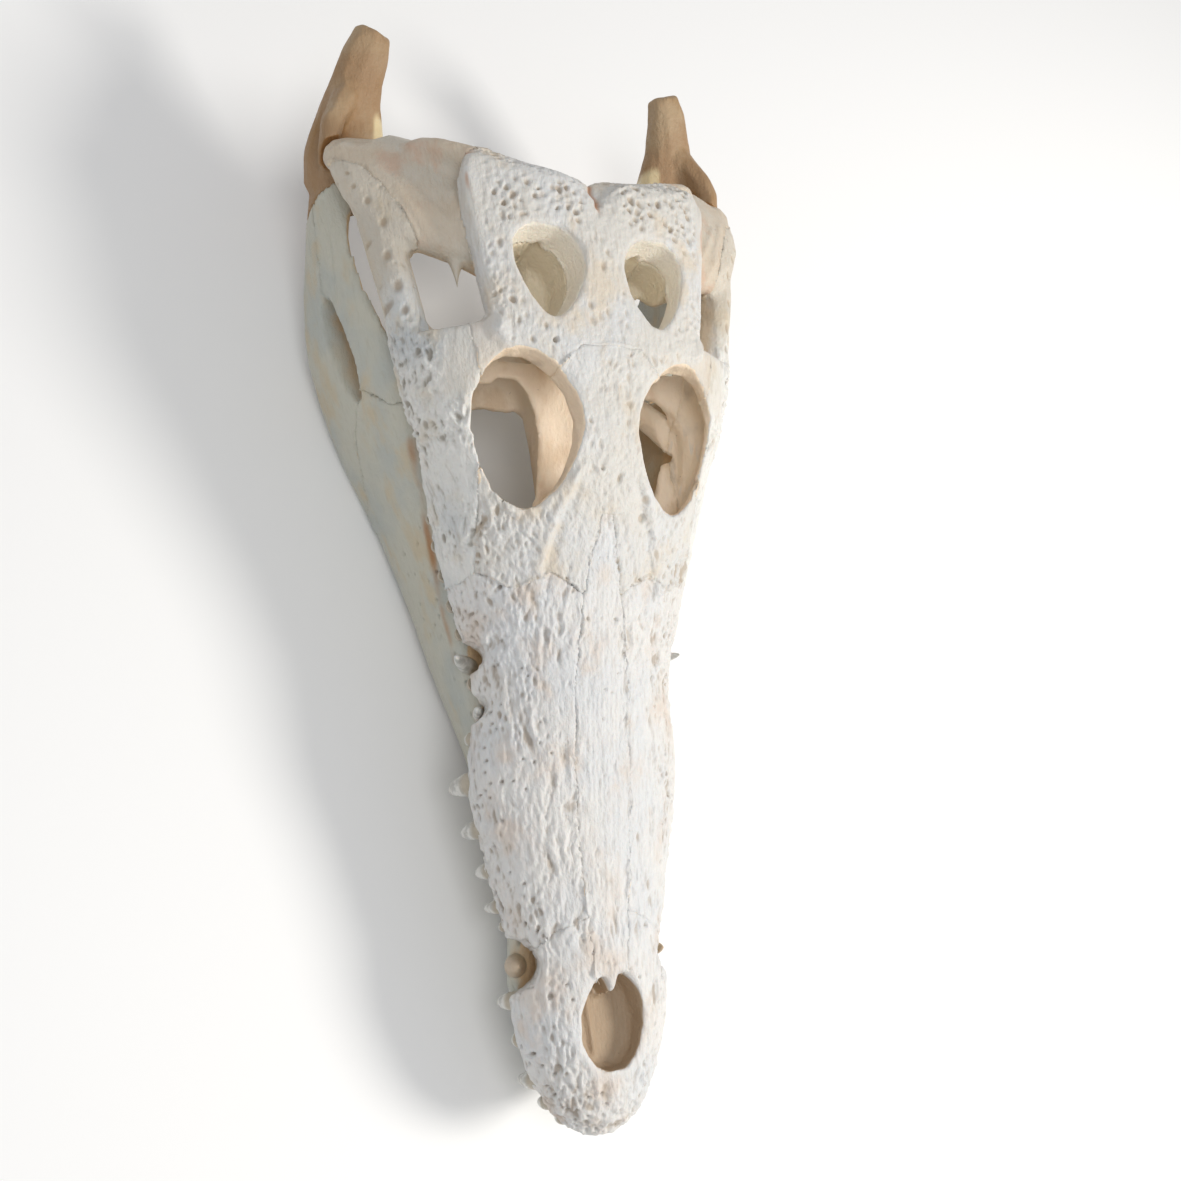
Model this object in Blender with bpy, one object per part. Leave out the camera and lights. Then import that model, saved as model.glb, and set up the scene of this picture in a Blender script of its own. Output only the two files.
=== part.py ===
"""A crocodile skull with its lower jaw, jaws closed, resting on the floor on its lower jaw.

Lengths are in millimetres until a mesh is made. s runs back from the snout tip, x runs to the
animal's left and z runs up from the floor. The animal is a Crocodylus whose skull is 280 mm long
from the snout tip to the rear edge of the skull table.
"""
import math
import random

import bmesh
import bpy
import numpy as np
from mathutils import Vector

MM = 0.001

# Driving dimensions
TOTAL_LENGTH = 352.0
TABLE_HALF_WIDTH = 42.0
JAW_JOINT_Z = 60.0
SUTURE_GAP = 0.30
JOINT_CLEARANCE = 0.9
JAW_CLEARANCE = 2.0
Y_OF_TIP = -TOTAL_LENGTH / 2

# Meshing
RING_POINTS = 40
VOXEL = 1.3
SKULL_FACES = 5400
JAW_FACES = 2300
SCRAP_SIZE = 8.0

# Upper jaw: s, half width, height of its widest line, roof, palate, power of the section
SNOUT = (
    (0.5, 4.0, 30.4, 34.5, 28.0, 2.0),
    (3.5, 9.3, 30.5, 38.5, 27.0, 2.0),
    (8.0, 14.5, 31.0, 41.8, 27.0, 2.0),
    (14.0, 18.5, 31.0, 44.6, 27.5, 2.0),
    (22.0, 22.2, 31.4, 46.8, 28.0, 2.0),
    (30.0, 24.9, 32.2, 48.6, 28.6, 2.0),
    (38.0, 26.3, 32.8, 50.0, 29.2, 2.0),
    (47.0, 26.1, 33.8, 51.3, 30.4, 2.0),
    (56.0, 26.0, 34.6, 52.5, 31.6, 2.0),
    (67.0, 28.0, 35.2, 54.0, 32.2, 1.9),
    (82.0, 31.4, 36.4, 56.6, 33.4, 1.9),
    (96.0, 34.3, 37.9, 59.3, 34.8, 1.9),
    (108.0, 36.3, 39.4, 62.0, 36.0, 1.9),
    (121.0, 35.0, 42.2, 64.8, 38.2, 1.9),
    (133.0, 33.9, 44.4, 67.4, 40.0, 1.9),
    (148.0, 36.4, 47.6, 71.2, 42.2, 1.95),
    (163.0, 40.6, 49.2, 75.6, 44.6, 2.0),
    (176.0, 44.1, 51.0, 80.6, 47.4, 2.1),
    (188.0, 46.8, 53.6, 86.6, 50.6, 2.1),
    (200.0, 49.6, 57.8, 91.5, 54.2, 2.1),
    (213.0, 53.0, 65.0, 94.5, 58.0, 2.1),
    (226.0, 56.2, 68.4, 96.0, 61.0, 2.1),
    (236.0, 58.6, 69.6, 97.0, 62.6, 2.1),
)
# The palate is vaulted by this much between the tooth rows
PALATE_VAULT = 3.6

# Skull table, across: x, front edge s, rear edge s, top height at the front, at the rear, thickness
TABLE = (
    (0.0, 216.0, 276.0, 97.0, 103.5, 10.0),
    (8.0, 218.0, 284.5, 97.4, 103.5, 10.0),
    (18.0, 222.0, 286.5, 97.2, 102.5, 9.5),
    (28.0, 227.0, 288.0, 96.2, 100.8, 9.0),
    (35.0, 232.0, 290.5, 94.6, 98.8, 9.0),
    (38.0, 247.0, 291.0, 94.8, 97.9, 8.5),
    (40.5, 263.0, 289.5, 95.2, 97.2, 7.5),
    (TABLE_HALF_WIDTH, 275.0, 285.0, 95.6, 96.6, 6.0),
)

# Lower jaw, one side: s, inner x, outer x at the top, outer x at the bottom, bottom z, top z
RAMUS = (
    (5.0, 0.0, 4.5, 3.0, 17.0, 25.0),
    (9.0, 0.0, 9.0, 5.5, 12.0, 26.0),
    (16.0, 0.0, 13.4, 8.0, 6.0, 26.4),
    (25.0, 0.0, 16.8, 10.2, 0.8, 26.8),
    (36.0, 0.0, 20.4, 11.2, -0.8, 27.4),
    (48.0, 0.0, 25.2, 11.4, -0.8, 28.8),
    (58.0, 3.0, 23.4, 11.2, 0.2, 29.6),
    (70.0, 8.0, 22.4, 13.0, 1.6, 30.4),
    (88.0, 13.5, 25.2, 16.2, 3.0, 31.6),
    (108.0, 17.0, 27.6, 20.0, 4.0, 33.2),
    (128.0, 19.5, 29.4, 26.0, 4.2, 35.4),
    (148.0, 23.0, 33.0, 33.2, 3.8, 37.0),
    (168.0, 27.5, 38.2, 38.4, 2.6, 40.6),
    (188.0, 33.0, 44.4, 44.2, 0.6, 46.8),
    (208.0, 39.0, 50.6, 51.6, -0.8, 53.6),
    (226.0, 43.5, 56.6, 60.0, -0.8, 58.6),
    (244.0, 45.5, 60.8, 66.8, 1.0, 59.4),
    (262.0, 47.5, 64.8, 71.6, 5.0, 57.8),
    (278.0, 49.0, 67.4, 72.8, 11.0, 55.6),
    (292.0, 49.0, 70.2, 72.6, 18.5, 55.0),
    (304.0, 47.0, 72.8, 71.6, 26.0, 56.0),
    (316.0, 47.0, 71.4, 69.2, 35.0, 55.0),
)
# Space for the jaw muscles inside the rear of the jaw: s, outer limit x, floor z, top z
MUSCLE_SPACE = (
    (238.0, 50.5, 40.0, 90.0),
    (244.0, 55.0, 24.0, 90.0),
    (254.0, 58.6, 16.0, 90.0),
    (264.0, 61.4, 17.0, 90.0),
    (276.0, 63.8, 19.0, 88.0),
    (286.0, 64.4, 16.0, 76.0),
    (294.0, 62.8, 12.0, 58.0),
    (300.0, 60.4, 12.0, 47.0),
    (305.0, 56.0, 14.0, 38.0),
)

# Process behind the jaw joint: x, s, z, half width, half height
RETROARTICULAR = (
    (60.5, 306.0, 42.0, 14.6, 9.0),
    (61.0, 316.0, 46.0, 14.2, 8.4),
    (60.8, 326.0, 51.0, 11.0, 7.4),
    (59.8, 336.0, 56.8, 8.6, 6.4),
    (57.2, 345.0, 62.6, 7.4, 5.4),
    (55.0, 351.0, 65.6, 6.2, 4.4),
)
ARTICULAR_LIP = (
    (70.9, 303.0, 55.2, 3.2, 4.4),
    (71.3, 309.0, 59.2, 3.4, 5.0),
    (70.6, 316.0, 61.2, 3.6, 4.6),
    (67.6, 323.0, 60.0, 4.0, 4.6),
    (63.5, 331.0, 58.0, 4.0, 4.6),
)

# Cheek bar behind the orbit: x, s, z, half width, half height
JUGAL_BAR = (
    (48.4, 214.0, 65.4, 5.0, 8.0),
    (52.6, 232.0, 69.0, 5.2, 8.4),
    (56.0, 250.0, 70.6, 5.4, 8.0),
    (59.2, 266.0, 71.0, 5.8, 7.2),
    (62.2, 282.0, 69.6, 5.8, 6.8),
    (66.2, 296.0, 66.8, 6.2, 6.2),
    (69.6, 304.0, 64.0, 5.8, 5.6),
)
# Bar from the table's front corner down to the cheek bar
POSTORBITAL_BAR = (
    (30.0, 234.0, 91.0, 7.0, 6.4),
    (36.0, 233.6, 85.0, 5.4, 4.8),
    (42.0, 234.0, 78.0, 5.0, 4.4),
    (49.0, 236.0, 70.5, 7.0, 5.6),
)
# Quadrate: x, s, z, half width along the skull, half thickness
QUADRATE = (
    (20.0, 264.0, 84.0, 13.0, 10.0),
    (33.0, 273.0, 82.0, 16.0, 8.0),
    (46.0, 283.0, 77.0, 20.0, 7.0),
    (56.0, 294.0, 71.5, 19.0, 6.5),
    (62.0, 303.0, 66.0, 14.0, 6.0),
)
PAROCCIPITAL = (
    (4.0, 284.0, 88.0, 5.0, 10.0),
    (22.0, 287.0, 88.0, 5.0, 9.0),
    (36.0, 293.0, 84.0, 4.6, 8.0),
    (46.0, 299.0, 78.0, 4.0, 6.0),
    (50.0, 301.0, 74.0, 3.0, 4.0),
)
ECTOPTERYGOID = (
    (42.0, 214.0, 63.0, 5.0, 4.6),
    (36.6, 225.0, 56.0, 4.4, 4.6),
    (32.4, 235.0, 48.0, 4.2, 4.6),
    (30.6, 246.0, 41.0, 3.6, 4.0),
)
# Midline of the palate, from under the orbits to the pterygoids: s, half width, bottom z, top z
PALATINE = (
    (160.0, 14.0, 47.0, 56.0),
    (180.0, 9.5, 47.5, 60.0),
    (205.0, 8.0, 46.0, 61.0),
    (226.0, 8.5, 43.0, 62.0),
    (244.0, 12.0, 42.0, 62.0),
    (258.0, 11.0, 43.0, 60.0),
)
# Braincase under the table: s, half width, bottom z, top z
BRAINCASE = (
    (222.0, 8.0, 84.0, 96.0),
    (232.0, 11.0, 70.0, 97.0),
    (244.0, 14.0, 52.0, 98.0),
    (260.0, 15.5, 48.0, 99.0),
    (274.0, 16.0, 50.0, 100.0),
    (286.0, 13.0, 62.0, 97.0),
)

# Openings seen in plan, left side: x, s
ORBIT = (
    (41.0, 212.0), (39.8, 203.0), (36.5, 193.5), (31.0, 185.5), (24.5, 182.8), (18.0, 186.5),
    (13.0, 193.5), (10.2, 202.5), (10.4, 211.0), (14.5, 219.0), (21.0, 225.0), (28.0, 227.6),
    (35.0, 225.5), (39.6, 219.0),
)
SUPRATEMPORAL = (
    (18.7, 267.3), (25.5, 266.8), (30.2, 262.5), (30.4, 256.0), (28.4, 248.0), (24.4, 240.5),
    (19.0, 235.5), (14.0, 237.5), (9.3, 243.5), (6.2, 251.0), (5.8, 257.5), (8.4, 263.0),
    (13.0, 266.5),
)
SUBORBITAL = (
    (12.5, 190.0), (19.0, 184.5), (27.0, 188.0), (32.5, 197.0), (34.0, 209.0), (31.5, 220.5),
    (25.0, 229.5), (17.0, 229.0), (12.0, 219.0), (11.0, 204.0),
)
NARIS = (
    (0.4, 17.6), (5.2, 18.8), (9.2, 23.0), (11.4, 29.5), (11.5, 35.5), (9.6, 42.0), (6.0, 47.0),
    (2.6, 47.6), (0.6, 42.0), (-0.8, 42.0), (-2.2, 47.4), (-5.2, 46.0), (-8.6, 41.0),
    (-10.4, 35.0), (-10.6, 29.0), (-8.4, 23.0), (-4.6, 18.8),
)
# Notches of the upper jaw's margin where long lower teeth stand: x, s, half x, half s, low z
NOTCHES = (
    (27.6, 52.4, 6.2, 7.9, 27.0),
    (38.4, 129.0, 5.8, 4.8, 34.0),
    (39.6, 144.4, 6.2, 5.4, 37.0),
)

# Upper teeth: lean outwards in degrees; s, radius at the gum, length
UPPER_LEAN = 17
PREMAXILLA_TEETH = (
    (6.5, 1.4, 3.4), (12.0, 1.6, 3.8), (19.0, 2.1, 7.6), (30.5, 1.8, 3.2), (41.6, 2.1, 7.2),
)
MAXILLA_TEETH = (
    (63.8, 1.2, 2.8), (70.0, 1.8, 7.0), (80.6, 2.1, 7.5), (93.6, 2.5, 9.0), (107.8, 2.9, 11.0),
    (120.5, 1.7, 3.4), (137.0, 1.6, 3.2), (153.0, 1.7, 3.0), (162.0, 1.6, 2.9), (171.0, 1.6, 2.8),
    (180.0, 1.5, 2.8), (188.0, 1.5, 2.6),
)
# Lower teeth: s, inset from the outer face, radius, length, lean outwards in degrees
DENTARY_TEETH = (
    (12.0, 3.6, 1.7, 4.0, 10), (19.0, 3.8, 1.6, 3.8, 10), (28.0, 3.8, 1.7, 4.0, 10),
    (38.0, 3.8, 1.7, 4.0, 10), (52.0, 3.8, 2.7, 11.0, 32), (62.5, 3.6, 1.6, 4.0, 5),
    (70.0, 3.6, 1.6, 4.2, 5), (78.0, 3.8, 1.7, 4.4, 5), (87.0, 3.8, 1.7, 4.6, 5),
    (97.0, 3.8, 1.8, 4.8, 5), (107.0, 4.0, 1.8, 4.8, 5), (117.0, 4.0, 1.8, 4.8, 5),
    (128.5, 2.6, 1.9, 12.6, 34), (144.5, 2.2, 2.1, 14.6, 42), (156.0, 4.2, 1.8, 4.4, 0),
    (166.0, 4.4, 1.7, 4.2, 0), (176.0, 4.6, 1.6, 4.0, 0),
)

# Joints between the bones
NASAL = (
    (36.0, 5.0, 5.6), (60.0, 6.2, 6.5), (90.0, 8.4, 7.0), (125.0, 9.0, 7.5), (150.0, 7.0, 8.0),
    (170.0, 4.0, 8.0), (181.0, 1.6, 8.0),
)
PREMAXILLA_EDGE = ((44.0, 52.0), (24.0, 54.5), (14.0, 61.0), (9.0, 64.5))
MAXILLA_EDGE = ((62.0, 167.0), (47.0, 163.0), (37.0, 167.0), (27.0, 161.0), (17.0, 164.0), (8.6, 157.8))
JUGAL_EDGE = ((37.0, 167.0), (37.6, 185.0), (38.5, 205.0), (39.6, 222.0), (42.6, 240.0), (45.0, 251.0))
QUADRATE_EDGE = ((48.0, 252.0), (54.0, 268.0), (60.0, 281.8), (66.5, 293.0), (74.0, 299.0), (86.0, 302.0))
FRONTAL_EDGE = ((-20.0, 219.0), (-10.0, 229.0), (10.0, 229.0), (20.0, 219.0))
TABLE_EDGE = ((239.0, 87.5), (250.0, 88.3), (292.0, 91.3), (304.0, 92.0))
BASE_EDGE = ((235.0, 76.0), (243.0, 66.0), (247.0, 57.0), (300.0, 57.0))
DENTARY_EDGE = ((220.0, 75.0), (225.0, 52.0), (236.0, 38.0), (226.0, 26.0), (192.0, -6.0))
ANGULAR_EDGE = ((235.8, 37.8), (250.0, 35.0), (275.0, 35.0), (290.0, 37.5), (300.0, 40.0))
ARTICULAR_EDGE = ((299.0, 90.0), (300.5, 55.0), (297.0, 10.0))

# Bones: a point near each one's middle, and its colour
SKULL_BONES = (
    ("premaxilla", 0, 22, 30, 0.78),
    ("maxilla", 26, 110, 50, 0.80),
    ("nasal", 0, 110, 62, 0.83),
    ("frontal", 0, 205, 92, 0.79),
    ("skull_table", 0, 262, 99, 0.81),
    ("jugal", 55, 245, 72, 0.77),
    ("quadrate", 48, 285, 76, 0.76),
    ("braincase", 0, 270, 70, 0.72),
    ("palate", 0, 215, 46, 0.74),
)
JAW_BONES = (
    ("dentary", 32, 150, 20, 0.75),
    ("surangular", 66, 280, 50, 0.73),
    ("angular", 62, 225, 8, 0.70),
    ("articular", 60, 330, 54, 0.68),
)


def clear_scene():
    for item in list(bpy.data.objects):
        bpy.data.objects.remove(item, do_unlink=True)


def track(rows):
    """A smooth curve through rows of (s, value, value, ...), read at any s."""
    table = np.array(rows, dtype=float)
    stations = table[:, 0]
    values = table[:, 1:]
    slopes = np.gradient(values, stations, axis=0)

    def at(s):
        k = int(np.clip(np.searchsorted(stations, s) - 1, 0, len(stations) - 2))
        span = stations[k + 1] - stations[k]
        t = float(np.clip((s - stations[k]) / span, 0.0, 1.0))
        start = (1 + 2 * t) * (1 - t) ** 2 * values[k] + t * (1 - t) ** 2 * span * slopes[k]
        end = t * t * (3 - 2 * t) * values[k + 1] + t * t * (t - 1) * span * slopes[k + 1]
        return start + end

    return at


def signed_power(value, power):
    return math.copysign(abs(value) ** power, value)


def to_world(x, s, z):
    return Vector((x * MM, (s + Y_OF_TIP) * MM, z * MM))


def loft(name, rings):
    """Closed body through rings of (x, s, z) points, its two ends filled."""
    mesh = bpy.data.meshes.new(name)
    builder = bmesh.new()
    rows = [[builder.verts.new(to_world(*point)) for point in ring] for ring in rings]
    count = len(rows[0])
    for first, second in zip(rows, rows[1:]):
        for i in range(count):
            j = (i + 1) % count
            builder.faces.new((first[i], first[j], second[j], second[i]))
    builder.faces.new(rows[0])
    builder.faces.new(rows[-1])
    bmesh.ops.recalc_face_normals(builder, faces=builder.faces)
    builder.to_mesh(mesh)
    builder.free()
    body = bpy.data.objects.new(name, mesh)
    bpy.context.scene.collection.objects.link(body)
    return body


def ellipse_angles(count=RING_POINTS):
    return [2 * math.pi * i / count for i in range(count)]


def snout_ring(s, row):
    """Section of the upper jaw: a crowned roof over a shallow palate."""
    half, middle, roof, palate, power = row
    points = []
    for angle in ellipse_angles():
        across = math.cos(angle)
        rise = math.sin(angle)
        if rise >= 0:
            x = half * signed_power(across, 2 / power)
            z = middle + (roof - middle) * rise ** (2 / power)
        else:
            x = half * signed_power(across, 0.7)
            inner = min(1.0, max(0.0, (half - 7.0 - abs(x)) / 3.0))
            vault = PALATE_VAULT * inner * inner * (3 - 2 * inner)
            z = middle - (middle - palate) * abs(rise) ** 0.7 + vault
        points.append((x, s, z))
    return points


def slab_ring(s, left, right, bottom, top, power=3.0):
    """Rounded upright section between two x values and two heights."""
    points = []
    for angle in ellipse_angles(24):
        x = (left + right) / 2 + (right - left) / 2 * signed_power(math.cos(angle), 2 / power)
        z = (bottom + top) / 2 + (top - bottom) / 2 * signed_power(math.sin(angle), 2 / power)
        points.append((x, s, z))
    return points


def sweep(name, rows, side=1, steps=4, upright=(0, 0, 1), power=2.2, sides=20, grow=0.0):
    """Body along rows of (x, s, z, half width, half height), mirrored for the right side."""
    keyed = [(float(i),) + tuple(row) for i, row in enumerate(rows)]
    at = track(keyed)
    count = (len(rows) - 1) * steps + 1
    samples = [at(i / steps) for i in range(count)]
    path = [Vector(sample[:3]) for sample in samples]
    rings = []
    for i, sample in enumerate(samples):
        ahead = (path[min(i + 1, count - 1)] - path[max(i - 1, 0)]).normalized()
        across = ahead.cross(Vector(upright)).normalized()
        rise = across.cross(ahead).normalized()
        ring = []
        for angle in ellipse_angles(sides):
            point = path[i] + across * (sample[3] + grow) * signed_power(math.cos(angle), 2 / power)
            point += rise * (sample[4] + grow) * signed_power(math.sin(angle), 2 / power)
            ring.append((side * point.x, point.y, point.z))
        rings.append(ring)
    return loft(name, rings)


def apply_modifiers(body):
    """Turn what the modifiers make into the body's own mesh."""
    evaluated = body.evaluated_get(bpy.context.evaluated_depsgraph_get())
    mesh = bpy.data.meshes.new_from_object(evaluated)
    body.modifiers.clear()
    body.data = mesh
    return body


def join_bodies(name, bodies):
    """One mesh that holds several closed bodies."""
    builder = bmesh.new()
    for body in bodies:
        builder.from_mesh(body.data)
        bpy.data.objects.remove(body, do_unlink=True)
    mesh = bpy.data.meshes.new(name)
    builder.to_mesh(mesh)
    builder.free()
    joined = bpy.data.objects.new(name, mesh)
    bpy.context.scene.collection.objects.link(joined)
    return joined


def remesh(body, voxel, smooth_steps, smooth_factor=0.5):
    """Fuse a body's overlapping shells into one skin and soften its edges."""
    modifier = body.modifiers.new("skin", "REMESH")
    modifier.mode = "VOXEL"
    modifier.voxel_size = voxel * MM
    soften = body.modifiers.new("soften", "SMOOTH")
    soften.factor = smooth_factor
    soften.iterations = smooth_steps
    return apply_modifiers(body)


def combine(body, others, operation, solver="EXACT"):
    """Boolean of a body with closed bodies, which are removed afterwards."""
    group = bpy.data.collections.new("tools")
    for other in others:
        group.objects.link(other)
    modifier = body.modifiers.new("combine", "BOOLEAN")
    modifier.operation = operation
    modifier.operand_type = "COLLECTION"
    modifier.collection = group
    modifier.solver = solver
    apply_modifiers(body)
    for other in list(group.objects):
        bpy.data.objects.remove(other, do_unlink=True)
    bpy.data.collections.remove(group)
    return body


def coarsen(body, faces):
    body.modifiers.new("triangles", "TRIANGULATE")
    apply_modifiers(body)
    reduce = body.modifiers.new("coarsen", "DECIMATE")
    reduce.ratio = min(1.0, faces / len(body.data.polygons))
    return apply_modifiers(body)


def snout_body():
    at = track(SNOUT)
    first = SNOUT[0][0]
    last = SNOUT[-1][0]
    places = [first, 1.8] + [s for s in np.linspace(3.5, last, 64)]
    return loft("snout", [snout_ring(s, at(s)) for s in places])


def table_body():
    at = track(TABLE)
    rings = []
    for x in np.linspace(-TABLE_HALF_WIDTH, TABLE_HALF_WIDTH, 45):
        front, rear, z_front, z_rear, thick = at(abs(x))
        ring = []
        for angle in ellipse_angles(28):
            t = 0.5 + 0.5 * signed_power(math.cos(angle), 0.6)
            z = z_front + (z_rear - z_front) * t - thick / 2
            z += thick / 2 * signed_power(math.sin(angle), 0.55)
            ring.append((x, front + (rear - front) * t, z))
        rings.append(ring)
    return loft("table", rings)


def midline_body(name, rows, power=2.6):
    at = track(rows)
    places = np.linspace(rows[0][0], rows[-1][0], 24)
    return loft(name, [slab_ring(s, -at(s)[0], at(s)[0], at(s)[1], at(s)[2], power) for s in places])


def ball(name, x, s, z, radii):
    rings = []
    for latitude in np.linspace(-0.96, 0.96, 11):
        spread = math.cos(latitude * math.pi / 2)
        ring = []
        for angle in ellipse_angles(20):
            ring.append((
                x + radii[0] * spread * math.cos(angle),
                s + radii[1] * spread * math.sin(angle),
                z + radii[2] * math.sin(latitude * math.pi / 2),
            ))
        rings.append(ring)
    return loft(name, rings)


def smooth_loop(points, count=40):
    """Closed smooth curve through a few points."""
    knots = [Vector(point) for point in points]
    loop = []
    for k in range(count):
        place = k * len(knots) / count
        i = int(place)
        t = place - i
        before, start, end, after = (knots[(i + j) % len(knots)] for j in (-1, 0, 1, 2))
        point = 2 * start + (end - before) * t
        point += (2 * before - 5 * start + 4 * end - after) * t * t
        point += (3 * start - before - 3 * end + after) * t ** 3
        loop.append(point / 2)
    return loop


def plan_hole(name, outline, side, low, high, wide_x=1.0, wide_s=1.0):
    """Cutter with a given outline at its top, made wider or narrower towards its foot."""
    loop = smooth_loop(outline)
    centre = sum(loop, Vector((0.0, 0.0))) / len(loop)
    rings = []
    for t in np.linspace(0.0, 1.0, 5):
        grow_x = wide_x + (1.0 - wide_x) * t
        grow_s = wide_s + (1.0 - wide_s) * t
        ring = []
        for point in loop:
            x = centre.x + (point.x - centre.x) * grow_x
            s = centre.y + (point.y - centre.y) * grow_s
            ring.append((side * x, s, low + (high - low) * t))
        rings.append(ring)
    return loft(name, rings)


def oval(x, s, half_x, half_s):
    return [(x + half_x * math.cos(a), s + half_s * math.sin(a)) for a in ellipse_angles(12)]


def pterygoid_wing(side):
    """Plate that spreads sideways and down from the palate's rear."""
    rings = []
    for t in np.linspace(0.0, 1.0, 9):
        x = 4.0 + 34.0 * t
        middle = 243.0 - 4.0 * t
        z = 49.0 - 13.0 * t
        half = 15.0 - 1.0 * t - 5.0 * t ** 6
        thick = 3.2 - 1.2 * math.sin(math.pi * t) + 1.2 * t ** 3
        ring = []
        for angle in ellipse_angles(20):
            ring.append((side * x, middle + half * math.cos(angle), z + thick * math.sin(angle)))
        rings.append(ring)
    return loft("pterygoid_wing", rings)


def prefrontal_pillar(side):
    rows = (
        (14.0, 186.0, 80.0, 4.0, 5.0),
        (12.0, 189.0, 70.0, 3.0, 4.0),
        (8.0, 192.0, 59.0, 3.4, 5.0),
    )
    return sweep("pillar", rows, side, upright=(0, 1, 0))


def condyle(side, steps=4, sides=20, grow=0.0):
    """Roller at the quadrate's end, in two lobes."""
    rows = (
        (49.0 - grow, 307.5, JAW_JOINT_Z + 2.2, 3.6, 4.2),
        (53.0, 307.0, JAW_JOINT_Z + 0.8, 5.6, 5.8),
        (60.0, 306.0, JAW_JOINT_Z + 2.4, 5.0, 5.4),
        (68.0, 305.0, JAW_JOINT_Z + 1.2, 5.6, 5.8),
        (73.0 + grow, 304.5, JAW_JOINT_Z + 2.6, 3.6, 4.2),
    )
    return sweep("condyle", rows, side, steps, sides=sides, grow=grow)


def skull_shell():
    """Everything of the upper skull that is solid, before its openings are cut."""
    bodies = [snout_body(), table_body()]
    bodies.append(midline_body("palatine", PALATINE))
    bodies.append(midline_body("braincase", BRAINCASE, 3.0))
    bodies.append(ball("occipital_condyle", 0, 291, 77, (6.5, 6.0, 6.0)))
    for side in (-1, 1):
        bodies.append(sweep("jugal_bar", JUGAL_BAR, side))
        bodies.append(sweep("postorbital_bar", POSTORBITAL_BAR, side, upright=(0, 1, 0)))
        bodies.append(sweep("quadrate", QUADRATE, side))
        bodies.append(sweep("paroccipital", PAROCCIPITAL, side))
        bodies.append(sweep("ectopterygoid", ECTOPTERYGOID, side))
        bodies.append(pterygoid_wing(side))
        bodies.append(prefrontal_pillar(side))
        bodies.append(condyle(side))
    return join_bodies("skull", bodies)


def orbit_chamber():
    """Space under the frontal that joins both orbits, inside the cheeks."""
    at = track(SNOUT)
    rings = []
    for s in np.linspace(179.0, 240.0, 12):
        half, middle, roof, palate, _ = at(s)
        inset = 8.0
        closing = max(0.0, (186.0 - s) / 7.0)
        top = roof - 9.0 - 8.0 * closing
        reach = half - inset - 6 * closing
        rings.append(slab_ring(s, -reach, reach, palate + 5.5, top, 2.6))
    return loft("orbit_chamber", rings)


def skull_openings():
    cutters = [orbit_chamber()]
    cutters.append(plan_hole("naris", NARIS, 1, 38.5, 60.0, 0.88, 0.88))
    for side in (-1, 1):
        cutters.append(plan_hole("orbit", ORBIT, side, 62, 110))
        cutters.append(plan_hole("suborbital", SUBORBITAL, side, 36, 72))
        cutters.append(plan_hole("supratemporal", SUPRATEMPORAL, side, 76, 112, 0.72, 0.78))
        for x, s, half_x, half_s, low in NOTCHES:
            notch = oval(x, s, half_x, half_s)
            cutters.append(plan_hole("notch", notch, side, low - 6, low + 26, 2.2, 1.1))
    cutters.append(ball("foramen_magnum", 0, 292, 86, (5.4, 9.0, 4.6)))
    return cutters


def ramus_ring(s, row, side):
    inner, outer_top, outer_bottom, bottom, top = row
    points = []
    for angle in ellipse_angles(28):
        u = 0.5 + 0.5 * signed_power(math.cos(angle), 0.72)
        v = 0.5 + 0.5 * signed_power(math.sin(angle), 0.72)
        outer = outer_bottom + (outer_top - outer_bottom) * v
        # The inner face leans with the outer one, less at the chin where both sides meet
        start = inner + (outer - outer_top) * 0.5 * min(1.0, inner / 20.0)
        points.append((side * (start + (outer - start) * u), s, bottom + (top - bottom) * v))
    return points


def ramus_body(side):
    at = track(RAMUS)
    places = np.linspace(RAMUS[0][0], RAMUS[-1][0], 72)
    return loft("ramus", [ramus_ring(s, at(s), side) for s in places])


def jaw_window(side):
    """The opening in the jaw's outer side, between its three rear bones."""
    rings = []
    for x in np.linspace(54.0, 80.0, 3):
        ring = []
        for angle in ellipse_angles(28):
            u = 18.5 * signed_power(math.cos(angle), 0.9)
            v = 6.4 * signed_power(math.sin(angle), 0.9)
            ring.append((side * x, 251.0 + u - 0.06 * v, 34.5 + v - 0.04 * u))
        rings.append(ring)
    return loft("jaw_window", rings)


def muscle_space(side):
    at = track(MUSCLE_SPACE)
    rings = []
    for s in np.linspace(MUSCLE_SPACE[0][0], MUSCLE_SPACE[-1][0], 20):
        limit, floor, top = at(s)
        left, right = sorted((side * limit, side * 30.0))
        rings.append(slab_ring(s, left, right, floor, top, 4.0))
    return loft("muscle_space", rings)


def jaw_shell():
    bodies = []
    for side in (-1, 1):
        bodies.append(ramus_body(side))
        bodies.append(sweep("retroarticular", RETROARTICULAR, side))
        bodies.append(sweep("articular_lip", ARTICULAR_LIP, side))
    return join_bodies("jaw", bodies)


def joint_sheet(path, low, high, upright=True, side=1):
    """Thin cutter along a path: a line in plan raised in z, or a line in profile drawn out in x."""
    points = [Vector(point) for point in path]
    rings = []
    for i, point in enumerate(points):
        before = (point - points[i - 1]).normalized() if i > 0 else None
        after = (points[i + 1] - point).normalized() if i < len(points) - 1 else None
        before = before or after
        after = after or before
        ahead = (before + after).normalized()
        reach = SUTURE_GAP / 2 / max(0.4, ahead.dot(after))
        aside = Vector((-ahead.y, ahead.x)) * reach
        near = point - aside
        far = point + aside
        around = ((near, low), (far, low), (far, high), (near, high))
        if upright:
            ring = [(side * place.x, place.y, reach_z) for place, reach_z in around]
        else:
            ring = [(side * reach_x, place.x, place.y) for place, reach_x in around]
        rings.append(ring)
    return loft("joint", rings)


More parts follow.
